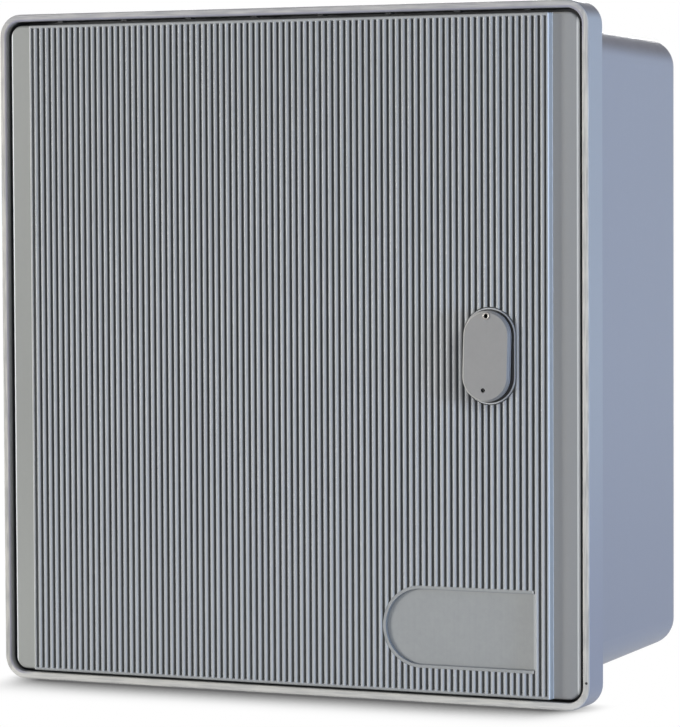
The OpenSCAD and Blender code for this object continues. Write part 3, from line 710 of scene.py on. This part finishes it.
def ivory_board():
    finish = Finish("board_ivory", IOR=1.5)
    clouds = finish.noise(40, 3.0)
    fleck = finish.noise(900, 3.0).ramp(0.12, 0.2)
    base = finish.mix(0.5 + clouds, colour(208, 202, 186), colour(224, 219, 205))
    base = finish.mix(fleck * 0.4, base, colour(150, 140, 122))
    grain = finish.noise(2400, 2.0)
    rough = 0.5 + grain * 0.2 + clouds * 0.1
    normal = finish.bump(grain, 0.15, 0.2 * MM)
    return finish.set(Base_Color=base, Roughness=rough, Normal=normal)


steel = plated("steel_zinc", colour(176, 178, 182), colour(206, 207, 208), 0.36)
nickel = plated("rivet_nickel", colour(122, 118, 114), colour(170, 166, 162), 0.3)
brass = plated("brass_plug", colour(190, 156, 96), colour(214, 184, 122), 0.30)
rubber = black_rubber()
board = ivory_board()
for side in ("upper", "lower"):
    dress(side + "_hinge_bracket", steel)
    dress(side + "_hinge_pin", steel)
dress("lock_cam", steel)
dress("board_inserts", brass)
dress("lock_plug", brass)
print("hardware finishes:", [m.name for m in (steel, nickel, brass, rubber, board)])

# %% [markdown]
# Small pieces are easiest to model lying on a bench, face up: x to the right, y up the door, z out
# of the wall, one Blender unit to the millimetre. Their places come from the boxes of the nodes
# that they replace. Operators act on what is selected, so two helpers choose pieces, or some of a
# piece's faces, as a click would.

# %% Bench
def bench_box(node):
    """Lowest and highest corner of a node on the bench, in millimetres."""
    low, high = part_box(node)
    return Vector((low.x, low.z, -high.y)) / MM, Vector((high.x, high.z, -low.y)) / MM


def choose(*pieces):
    """Selects these pieces and nothing else; the first is the active one."""
    bpy.ops.object.select_all(action="DESELECT")
    for piece in pieces:
        piece.select_set(True)
    bpy.context.view_layer.objects.active = pieces[0]


def pick(piece, kind, test):
    """Selects, in edit mode, the verts, edges or faces that pass a test, and nothing else."""
    bpy.ops.mesh.select_mode(type=kind)
    bpy.ops.mesh.select_all(action="DESELECT")
    mesh = bmesh.from_edit_mesh(piece.data)
    for item in {"VERT": mesh.verts, "EDGE": mesh.edges, "FACE": mesh.faces}[kind]:
        if test(item):
            item.select_set(True)
    mesh.select_flush_mode()
    bmesh.update_edit_mesh(piece.data)


print("bench: the lock's base lies from", *bench_box("lock_escutcheon"))

# %% [markdown]
# Modifiers do the cutting and the rounding, and each is applied at once, so that the next step
# works on plain faces. Holes are wider than what goes into them, by a close or a free fit. The tool
# runs past the piece at both ends, because faces that only touch make a bad cut.

# %% Cutting and rounding
SHARP = math.radians(30)
OVERRUN = 1.0
CLOSE_FIT, FREE_FIT = 0.05, 0.08
FINE_ROUND, SOFT_ROUND = 0.2, 0.25


def modify(piece, kind, **settings):
    """Adds a modifier, sets it and applies it."""
    choose(piece)
    modifier = piece.modifiers.new(kind.lower(), kind)
    for key, value in settings.items():
        setattr(modifier, key, value)
    bpy.ops.object.modifier_apply(modifier=modifier.name)


def soften(piece, width, segments=2):
    """Breaks every sharp edge by a small round."""
    modify(piece, "BEVEL", width=width, segments=segments, limit_method="ANGLE", angle_limit=SHARP)


def cut_away(piece, tool, operation="DIFFERENCE"):
    """Cuts a piece with another one, which is then thrown away."""
    modify(piece, "BOOLEAN", operation=operation, object=tool)
    bpy.data.objects.remove(tool)


def drill(piece, radius, centre, low, high, turn=(0, 0, 0)):
    """Cuts a round hole, along z unless it is turned; low and high are measured from the centre."""
    bpy.ops.object.select_all(action="DESELECT")
    bpy.ops.mesh.primitive_cylinder_add(vertices=48, radius=radius, depth=high - low, rotation=turn)
    tool = bpy.context.object
    middle = Vector((0, 0, (low + high) / 2))
    tool.location = Vector(centre) + tool.rotation_euler.to_matrix() @ middle
    cut_away(piece, tool)


def bore(piece, radius, centre, low, high):
    """Cuts a round hole along z right through a piece that reaches from low to high."""
    drill(piece, radius, centre, low.z - OVERRUN, high.z + OVERRUN)


print("fits: close", CLOSE_FIT, "and free", FREE_FIT, "mm; rounds", FINE_ROUND, "and", SOFT_ROUND, "mm")

# %% [markdown]
# What repeats is modelled once and copied. A finished piece is stood up, shrunk to metres and
# handed to the frame, and its place goes into its mesh. Weighted normals keep its flat faces flat
# beside the small rounds.

# %% Copying and handing over
UPRIGHT = Matrix.Rotation(math.radians(90), 4, "X") @ Matrix.Scale(MM, 4)
SMOOTH = math.radians(32)


def copies(blank, places):
    """Copies a piece to each place on the bench, each with its own mesh, and joins the copies."""
    made = []
    for place in places:
        twin = blank.copy()
        twin.data = blank.data.copy()
        scene.collection.objects.link(twin)
        twin.matrix_world = place
        made.append(twin)
    bpy.data.objects.remove(blank)
    choose(*made)
    bpy.ops.object.transform_apply(location=True, rotation=True, scale=True)
    bpy.ops.object.join()
    return bpy.context.object


def hand_over(piece, name, material, body, slot, *replaced, place=Matrix.Identity(4)):
    """Stands a bench piece up in the frame, gives it its finish and lets it ride on its body."""
    choose(piece)
    piece.matrix_world = UPRIGHT @ place
    bpy.ops.object.transform_apply(location=True, rotation=True, scale=True)
    bpy.ops.object.shade_smooth_by_angle(angle=SMOOTH)
    modify(piece, "WEIGHTED_NORMAL", keep_sharp=True)
    piece.name = piece.data.name = name
    piece.data.materials.clear()
    piece.data.materials.append(material)
    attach(piece, body)
    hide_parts(*replaced)
    print(name, "has", len(piece.data.polygons), "faces")


print("hand-over: from millimetres to metres by", UPRIGHT.median_scale)

# %% [markdown]
# The cover is a thick moulded tongue with half-round ends that hangs from one rivet and hides the
# key hole. A cylinder gives both ends at once: its two halves are slid apart, which leaves the
# straight sides between them. The front edge gets a wide bevel, the corners a fine one, and the
# whole hangs askew, as covers on old cabinets do.

# %% Lock cover
base_low, base_high = bench_box("lock_escutcheon")
cover_low, cover_high = bench_box("lock_cover")
rivet_low, rivet_high = bench_box("cover_rivet")
LOCK_X = (base_low.x + base_high.x) / 2
RIVET = Vector((0, (rivet_low.y + rivet_high.y) / 2, 0))
BASE_R = (base_high.x - base_low.x) / 2
BASE_LEN = base_high.y - base_low.y
BASE_RIM = 1.7
COVER_CHAMFER = 1.3
RIVET_R = 2.0
SEAL_HOLE_R = 1.45
SEAL_HOLE = RIVET + SEAL_DROP
HANG = Matrix.Translation(RIVET) @ ASKEW @ Matrix.Translation(-RIVET)
TO_LOCK = Matrix.Translation((LOCK_X, 0, 0))


def slot_blank(radius, reach, low, high):
    """A block with half-round ends, from one cylinder whose halves are slid apart."""
    sides = 96
    bpy.ops.object.select_all(action="DESELECT")
    bpy.ops.mesh.primitive_cylinder_add(
        vertices=sides, radius=radius, depth=high - low,
        location=(0, 0, (low + high) / 2), rotation=(0, 0, math.pi / sides),
    )
    piece = bpy.context.object
    bpy.ops.object.transform_apply(location=True, rotation=True)
    bpy.ops.object.mode_set(mode="EDIT")
    for side in (-1, 1):
        pick(piece, "VERT", lambda vert: vert.co.y * side > 0)
        bpy.ops.transform.translate(value=(0, side * (reach / 2 - radius), 0))
    bpy.ops.object.mode_set(mode="OBJECT")
    return piece


cover = slot_blank(BASE_R - BASE_RIM, BASE_LEN - 2 * BASE_RIM, cover_low.z, cover_high.z)
bpy.ops.object.mode_set(mode="EDIT")
pick(cover, "EDGE", lambda edge: all(vert.co.z > cover_high.z - 0.1 for vert in edge.verts))
bpy.ops.mesh.bevel(offset=COVER_CHAMFER, segments=1)
bpy.ops.object.mode_set(mode="OBJECT")
bore(cover, RIVET_R + FREE_FIT, RIVET, cover_low, cover_high)
bore(cover, SEAL_HOLE_R, SEAL_HOLE, cover_low, cover_high)
soften(cover, SOFT_ROUND)
hand_over(cover, "swinging_cover", cover_finish, "lock_cover", "moulded_lock", "lock_cover",
          place=TO_LOCK @ HANG)

# %% [markdown]
# Under the cover lies a base of the same form with a groove inside its lip, which shows as a dark
# line round the cover. Two insets on the front face mark out the groove, and extruding the ring
# between them inwards sinks it. Then come the bores for the barrel, the rivet, the seal wire and
# the two screws.

# %% Lock base
BASE_LIP, GROOVE_W, GROOVE_DEPTH = 0.9, 0.95, 1.2
THREAD_R, BARREL_HEAD_R, HEAD_Z = 9.0, 11.0, base_high.z - 2.0
Screw = namedtuple("Screw", "shank_r shank_len head_r head_t")
BASE_SCREW = Screw(1.5, 4.6, 3.0, 1.5)
SCREW_Y, SCREW_SEAT = 16.0, base_high.z - BASE_SCREW.head_t - FREE_FIT


def from_edge(face):
    """Distance of a face's middle from the base's outline."""
    middle = face.calc_center_median()
    straight = BASE_LEN / 2 - BASE_R
    return BASE_R - math.hypot(middle.x, max(abs(middle.y) - straight, 0))


lock_base = slot_blank(BASE_R, BASE_LEN, base_low.z, base_high.z)
bpy.ops.object.mode_set(mode="EDIT")
pick(lock_base, "FACE", lambda face: face.normal.z > 0.9)
bpy.ops.mesh.inset(thickness=BASE_LIP)
bpy.ops.mesh.inset(thickness=GROOVE_W)
pick(
    lock_base, "FACE",
    lambda face: face.normal.z > 0.9 and BASE_LIP < from_edge(face) < BASE_LIP + GROOVE_W,
)
bpy.ops.mesh.extrude_region_move(TRANSFORM_OT_translate={"value": (0, 0, -GROOVE_DEPTH)})
bpy.ops.object.mode_set(mode="OBJECT")
bore(lock_base, THREAD_R + FREE_FIT, (0, 0, 0), base_low, base_high)
drill(lock_base, BARREL_HEAD_R + FREE_FIT, (0, 0, 0), HEAD_Z, base_high.z + OVERRUN)
bore(lock_base, RIVET_R + CLOSE_FIT, RIVET, base_low, base_high)
bore(lock_base, SEAL_HOLE_R, HANG @ SEAL_HOLE, base_low, base_high)
for side in (-1, 1):
    centre = (0, side * SCREW_Y, 0)
    bore(lock_base, BASE_SCREW.shank_r + CLOSE_FIT, centre, base_low, base_high)
    drill(lock_base, BASE_SCREW.head_r + FREE_FIT, centre, SCREW_SEAT, base_high.z + OVERRUN)
soften(lock_base, FINE_ROUND)
hand_over(lock_base, "lock_base", base_finish, "door", "moulded_lock", "lock_escutcheon",
          place=TO_LOCK)

# %% [markdown]
# Turned pieces are made as on a lathe. A plane is merged into one vertex, the vertex is extruded
# along half a profile, and the profile is spun round the axis. A profile that ends where it began
# gives a ring. The first such piece is the hollow rivet that holds the cover: a tube with a
# shoulder between base and cover, and a lip that the setting tool has rolled over.


# %% Lathe and rivet
def turned(profile, steps=48):
    """Spins a profile of (radius, height) points about the z axis."""
    bpy.ops.object.select_all(action="DESELECT")
    bpy.ops.mesh.primitive_plane_add(size=1.0)
    piece = bpy.context.object
    bpy.ops.object.mode_set(mode="EDIT")
    bpy.ops.mesh.select_mode(type="VERT")
    bpy.ops.mesh.select_all(action="SELECT")
    bpy.ops.mesh.merge(type="CENTER")
    bpy.ops.transform.translate(value=(profile[0][0], 0, profile[0][1]))
    for (radius, height), (next_radius, next_height) in zip(profile, profile[1:]):
        step = (next_radius - radius, 0, next_height - height)
        bpy.ops.mesh.extrude_vertices_move(TRANSFORM_OT_translate={"value": step})
    bpy.ops.mesh.select_all(action="SELECT")
    bpy.ops.mesh.spin(steps=steps, angle=math.tau, center=(0, 0, 0), axis=(0, 0, 1))
    bpy.ops.mesh.select_all(action="SELECT")
    bpy.ops.mesh.remove_doubles(threshold=0.001)
    bpy.ops.mesh.normals_make_consistent(inside=False)
    bpy.ops.object.mode_set(mode="OBJECT")
    return piece


RIVET_BORE = 1.2
SHOULDER_R, LIP_R, LIP_T = 3.2, 2.4, 0.6
shoulder_z = cover_low.z - 0.15
lip_z = rivet_high.z - LIP_T
rivet_profile = [
    (RIVET_BORE, rivet_low.z), (RIVET_R, rivet_low.z), (RIVET_R, base_high.z),
    (SHOULDER_R, base_high.z), (SHOULDER_R, shoulder_z), (RIVET_R, shoulder_z),
    (RIVET_R, lip_z), (LIP_R - 0.1, lip_z), (LIP_R, lip_z + 0.15), (LIP_R - 0.05, lip_z + 0.35),
    (LIP_R - 0.3, rivet_high.z - 0.06), (LIP_R - 0.55, rivet_high.z),
    (RIVET_BORE + 0.3, rivet_high.z - 0.1), (RIVET_BORE, lip_z - 0.1), (RIVET_BORE, rivet_low.z),
]
hand_over(turned(rivet_profile, 64), "rolled_rivet", nickel, "door", "rivet", "cover_rivet",
          place=TO_LOCK @ Matrix.Translation(RIVET))

# %% [markdown]
# All the screws have pan heads with a cross recess. One function turns a blank and cuts the cross
# with two crossed bars. The crown's outline and the cross are shares of the head's radius and
# thickness, so that they suit a head of any size.

# %% Cross-head screw
CROWN = [(1.0, 0.0), (1.0, 0.45), (0.94, 0.72), (0.78, 0.92), (0.45, 1.0), (0.0, 1.0)]
CROSS_LEN, CROSS_W, CROSS_MID = 1.1, 0.24, 0.9


def cross_screw(shank_r, shank_len, head_r, head_t):
    """A pan-head screw along z, its head standing on z = 0."""
    point = shank_r * 0.6
    shank = [(0, -shank_len), (point, -shank_len), (shank_r, -shank_len + point), (shank_r, 0)]
    piece = turned(shank + [(r * head_r, h * head_t) for r, h in CROWN], 32)
    for turn in (0, math.pi / 2):
        bpy.ops.object.select_all(action="DESELECT")
        bpy.ops.mesh.primitive_cube_add(
            size=1.0, rotation=(0, 0, turn), location=(0, 0, head_t * CROSS_MID),
            scale=(head_r * CROSS_LEN, head_r * CROSS_W, head_t),
        )
        cut_away(piece, bpy.context.object)
    soften(piece, head_t * 0.03, 1)
    return piece


print("screws: the cross is", CROSS_W, "of the head's radius wide")

# %% [markdown]
# Each set is one blank, copied to its places. These come from the boxes of the nodes, less the size
# of a head. The screws of the keeper and the cam face other ways, so their places hold a turn.

# %% Sets of screws
BOARD_SCREW = Screw(2.0, 18.0, 5.0, 3.0)
HINGE_SCREW = Screw(1.6, 5.2, 3.2, 1.8)
KEEPER_SCREW = Screw(1.6, 9.0, 3.2, 1.8)
CAM_SCREW = Screw(2.0, 5.0, 5.6, 2.5)
HINGE_SCREW_STEP = 20.0


def screw_set(node, screw, body, places):
    piece = copies(cross_screw(*screw), places)
    hand_over(piece, node + "_crossed", steel, body, "steel", node)


low, high = bench_box("board_screws")
inset = BOARD_SCREW.head_r
screw_set("board_screws", BOARD_SCREW, "box",
          [Matrix.Translation((x, y, high.z - BOARD_SCREW.head_t))
           for x in (low.x + inset, high.x - inset) for y in (low.y + inset, high.y - inset)])
low, high = bench_box("hinge_screws")
brackets = [bench_box(side + "_hinge_bracket") for side in ("upper", "lower")]
hinges = [(bottom.y + top.y) / 2 for bottom, top in brackets]
screw_set("hinge_screws", HINGE_SCREW, "box",
          [Matrix.Translation(((low.x + high.x) / 2, y + step, high.z - HINGE_SCREW.head_t))
           for y in hinges for step in (-HINGE_SCREW_STEP, HINGE_SCREW_STEP)])
low, high = bench_box("keeper_screws")
inset = KEEPER_SCREW.head_r
to_left = Matrix.Rotation(-math.pi / 2, 4, "Y")
screw_set("keeper_screws", KEEPER_SCREW, "box",
          [Matrix.Translation((low.x + KEEPER_SCREW.head_t, y, (low.z + high.z) / 2)) @ to_left
           for y in (low.y + inset, high.y - inset)])
screw_set("escutcheon_screws", BASE_SCREW, "door",
          [TO_LOCK @ Matrix.Translation((0, side * SCREW_Y, SCREW_SEAT)) for side in (-1, 1)])
low, high = bench_box("cam_screw")
to_back = Matrix.Rotation(math.pi, 4, "X")
screw_set("cam_screw", CAM_SCREW, "lock",
          [TO_LOCK @ Matrix.Translation((0, 0, low.z + CAM_SCREW.head_t)) @ to_back])

# %% [markdown]
# The gasket is a soft strip glued under the door's sealing rib, which the box's lip presses into.
# A plane of the right size gets round corners, loses its face, and becomes a curve: the curve's
# own round section is the strip. Turned back into a mesh it is stretched to the strip's height.

# %% Gasket
low, high = bench_box("door_gasket")
STRIP_R = 1.3
STRIP_CORNER = 20.1
strip_size = (high.x - low.x - 2 * STRIP_R, high.y - low.y - 2 * STRIP_R)
bpy.ops.object.select_all(action="DESELECT")
bpy.ops.mesh.primitive_plane_add(size=1.0, location=(0, 0, (low.z + high.z) / 2))
gasket = bpy.context.object
gasket.scale = (*strip_size, 1)
bpy.ops.object.transform_apply(location=False, scale=True)
bpy.ops.object.mode_set(mode="EDIT")
bpy.ops.mesh.select_all(action="SELECT")
bpy.ops.mesh.bevel(offset=STRIP_CORNER, segments=12, affect="VERTICES")
bpy.ops.mesh.select_all(action="SELECT")
bpy.ops.mesh.delete(type="ONLY_FACE")
bpy.ops.object.mode_set(mode="OBJECT")
bpy.ops.object.convert(target="CURVE")
gasket.data.bevel_depth = STRIP_R
gasket.data.bevel_resolution = 3
bpy.ops.object.convert(target="MESH")
gasket = bpy.context.object
gasket.scale.z = (high.z - low.z) / (2 * STRIP_R)
hand_over(gasket, "gasket_strip", rubber, "door", "rubber", "door_gasket",
          place=gasket.matrix_basis.copy())

# %% [markdown]
# Each cable entry is plugged by a rubber grommet: a groove that grips the wall, a flange on both
# sides, and a thin skin with raised rings that is cut open to suit the cable. Its profile is drawn
# once and turned for each hole, tilted with the slope of the bottom wall.

# %% Grommets
WALL_GRIP, FLANGE_H = 2.05, 4.5
SEAT_R, FLANGE_R, THROAT_R = 15.95, 20.0, 12.0
SKIN_H, RING_H = 0.8, 1.2
skin = [(0.0, SKIN_H)]
for ring_r in (4.2, 8.0):
    skin += [(ring_r - 0.6, SKIN_H), (ring_r - 0.3, RING_H)]
    skin += [(ring_r + 0.3, RING_H), (ring_r + 0.6, SKIN_H)]
rim_half = [
    (THROAT_R - 1.0, SKIN_H), (THROAT_R - 0.6, 2.8), (THROAT_R + 0.6, FLANGE_H - 0.3),
    (THROAT_R + 1.6, FLANGE_H), (FLANGE_R - 1.6, FLANGE_H - 0.4),
    (FLANGE_R - 0.4, FLANGE_H - 1.2), (FLANGE_R, FLANGE_H - 1.9),
    (FLANGE_R - 0.3, WALL_GRIP), (SEAT_R, WALL_GRIP),
]
outer_half = skin + rim_half
grommet_profile = outer_half + [(radius, -height) for radius, height in reversed(outer_half)]
for side in ("left", "right"):
    low, high = bench_box("cable_grommet_" + side)
    place = Matrix.Translation((low + high) / 2) @ Matrix.Rotation(math.pi / 2 + DRAFT, 4, "X")
    hand_over(turned(grommet_profile, 64), "ringed_grommet_" + side, rubber, "box", "rubber",
              "cable_grommet_" + side, place=place)

# %% [markdown]
# Behind the door the barrel is held by a flat hexagon nut. A six-sided cylinder is the start. The
# bevelled look of a nut's corners is a cone's cut, so it is crossed with a turned lens of that
# shape. The barrel itself is turned with a row of fine grooves for its thread.

# %% Nut and barrel
low, high = bench_box("lock_nut")
NUT_R = (high.x - low.x) / 2
CONE_IN, CONE_H = 2.2, 1.1
bpy.ops.object.select_all(action="DESELECT")
bpy.ops.mesh.primitive_cylinder_add(
    vertices=6, radius=NUT_R, depth=high.z - low.z,
    location=(0, 0, (low.z + high.z) / 2), rotation=(0, 0, math.pi / 2),
)
nut = bpy.context.object
bpy.ops.object.transform_apply(location=True, rotation=True)
lens = [(0, low.z - 0.1), (NUT_R - CONE_IN, low.z - 0.1), (NUT_R + 0.2, low.z + CONE_H),
        (NUT_R + 0.2, high.z - CONE_H), (NUT_R - CONE_IN, high.z + 0.1), (0, high.z + 0.1)]
cut_away(nut, turned(lens, 96), "INTERSECT")
bore(nut, THREAD_R + CLOSE_FIT, (0, 0, 0), low, high)
soften(nut, FINE_ROUND)
hand_over(nut, "hexagon_nut", steel, "door", "steel", "lock_nut", place=TO_LOCK)

low, high = bench_box("lock_barrel")
THREAD_PITCH, THREAD_DEPTH, THREAD_STOP = 1.5, 0.45, 2.0
PLUG_BORE_R, FACE_BORE_R, FACE_DEPTH = 6.08, 8.08, 1.36
root_r = THREAD_R - THREAD_DEPTH
thread = []
for turn in range(int((HEAD_Z - THREAD_STOP - low.z) / THREAD_PITCH)):
    foot = low.z + 0.3 + turn * THREAD_PITCH
    thread += [(root_r, foot), (THREAD_R, foot + 0.6), (THREAD_R, foot + 0.9)]
head = [(THREAD_R, HEAD_Z), (BARREL_HEAD_R - 0.2, HEAD_Z), (BARREL_HEAD_R, HEAD_Z + 0.2),
        (BARREL_HEAD_R, high.z - 0.4), (BARREL_HEAD_R - 0.4, high.z)]
inside = [(FACE_BORE_R, high.z), (FACE_BORE_R, high.z - FACE_DEPTH),
          (PLUG_BORE_R, high.z - FACE_DEPTH), (PLUG_BORE_R, low.z)]
barrel_profile = [(PLUG_BORE_R, low.z), (root_r, low.z)] + thread + head + inside
hand_over(turned(barrel_profile, 64), "threaded_barrel", steel, "door", "steel", "lock_barrel",
          place=TO_LOCK)

# %% [markdown]
# The keeper is a strip of steel bent square, screwed to a boss on the box's wall. The bar of its
# wall leg is a cube; the inner side of its front end is extruded to make the second leg, and the
# outer corner of the bend is rounded as a press brake leaves it.

# %% Keeper
low, high = bench_box("lock_keeper")
KEEPER_T = 2.0
screw_low, screw_high = bench_box("keeper_screws")
bpy.ops.object.select_all(action="DESELECT")
bpy.ops.mesh.primitive_cube_add(size=1.0)
keeper = bpy.context.object
keeper.scale = (KEEPER_T, high.y - low.y, high.z - low.z - KEEPER_T)
keeper.location = (high.x - KEEPER_T / 2, (low.y + high.y) / 2, (low.z + high.z - KEEPER_T) / 2)
bpy.ops.object.transform_apply(location=True, scale=True)
bpy.ops.object.mode_set(mode="EDIT")
pick(keeper, "FACE", lambda face: face.normal.z > 0.9)
bpy.ops.mesh.extrude_region_move(TRANSFORM_OT_translate={"value": (0, 0, KEEPER_T)})
pick(
    keeper, "FACE",
    lambda face: face.normal.x < -0.9 and face.calc_center_median().z > high.z - KEEPER_T,
)
bpy.ops.mesh.extrude_region_move(TRANSFORM_OT_translate={"value": (low.x - high.x + KEEPER_T, 0, 0)})
pick(
    keeper, "EDGE",
    lambda edge: all(v.co.x > high.x - 0.1 and v.co.z > high.z - 0.1 for v in edge.verts),
)
bpy.ops.mesh.bevel(offset=KEEPER_T, segments=6)
bpy.ops.object.mode_set(mode="OBJECT")
inset = KEEPER_SCREW.head_r
for y in (screw_low.y + inset, screw_high.y - inset):
    centre = (high.x - KEEPER_T, y, (screw_low.z + screw_high.z) / 2)
    drill(keeper, KEEPER_SCREW.shank_r + CLOSE_FIT, centre, -OVERRUN, KEEPER_T + OVERRUN,
          turn=(0, math.pi / 2, 0))
soften(keeper, SOFT_ROUND)
hand_over(keeper, "bent_keeper", steel, "box", "steel", "lock_keeper")

# %% [markdown]
# The meter stands on a pressed board. A plane with rounded corners is extruded to its thickness,
# drilled for its own screws and for the meter's, and its edges are broken.

# %% Meter board
low, high = bench_box("meter_board")
BOARD_CORNER, BOARD_ROUND = 8.0, 0.6
METER_X, METER_Y, METER_HOLE_R = 60.0, 90.0, 2.5
screw_low, screw_high = bench_box("board_screws")
bpy.ops.object.select_all(action="DESELECT")
bpy.ops.mesh.primitive_plane_add(size=1.0, location=(0, 0, low.z))
meter_board = bpy.context.object
meter_board.scale = (high.x - low.x, high.y - low.y, 1)
bpy.ops.object.transform_apply(location=True, scale=True)
bpy.ops.object.mode_set(mode="EDIT")
bpy.ops.mesh.select_all(action="SELECT")
bpy.ops.mesh.bevel(offset=BOARD_CORNER, segments=8, affect="VERTICES")
bpy.ops.mesh.select_all(action="SELECT")
bpy.ops.mesh.extrude_region_move(TRANSFORM_OT_translate={"value": (0, 0, high.z - low.z)})
bpy.ops.mesh.select_all(action="SELECT")
bpy.ops.mesh.normals_make_consistent(inside=False)
bpy.ops.object.mode_set(mode="OBJECT")
inset = BOARD_SCREW.head_r
screw_x, screw_y = screw_high.x - inset, screw_high.y - inset
for x in (-1, 1):
    for y in (-1, 1):
        bore(meter_board, BOARD_SCREW.shank_r + FREE_FIT, (x * screw_x, y * screw_y, 0), low, high)
        bore(meter_board, METER_HOLE_R, (x * METER_X, y * METER_Y, 0), low, high)
soften(meter_board, BOARD_ROUND)
hand_over(meter_board, "pressed_board", board, "box", "board", "meter_board")
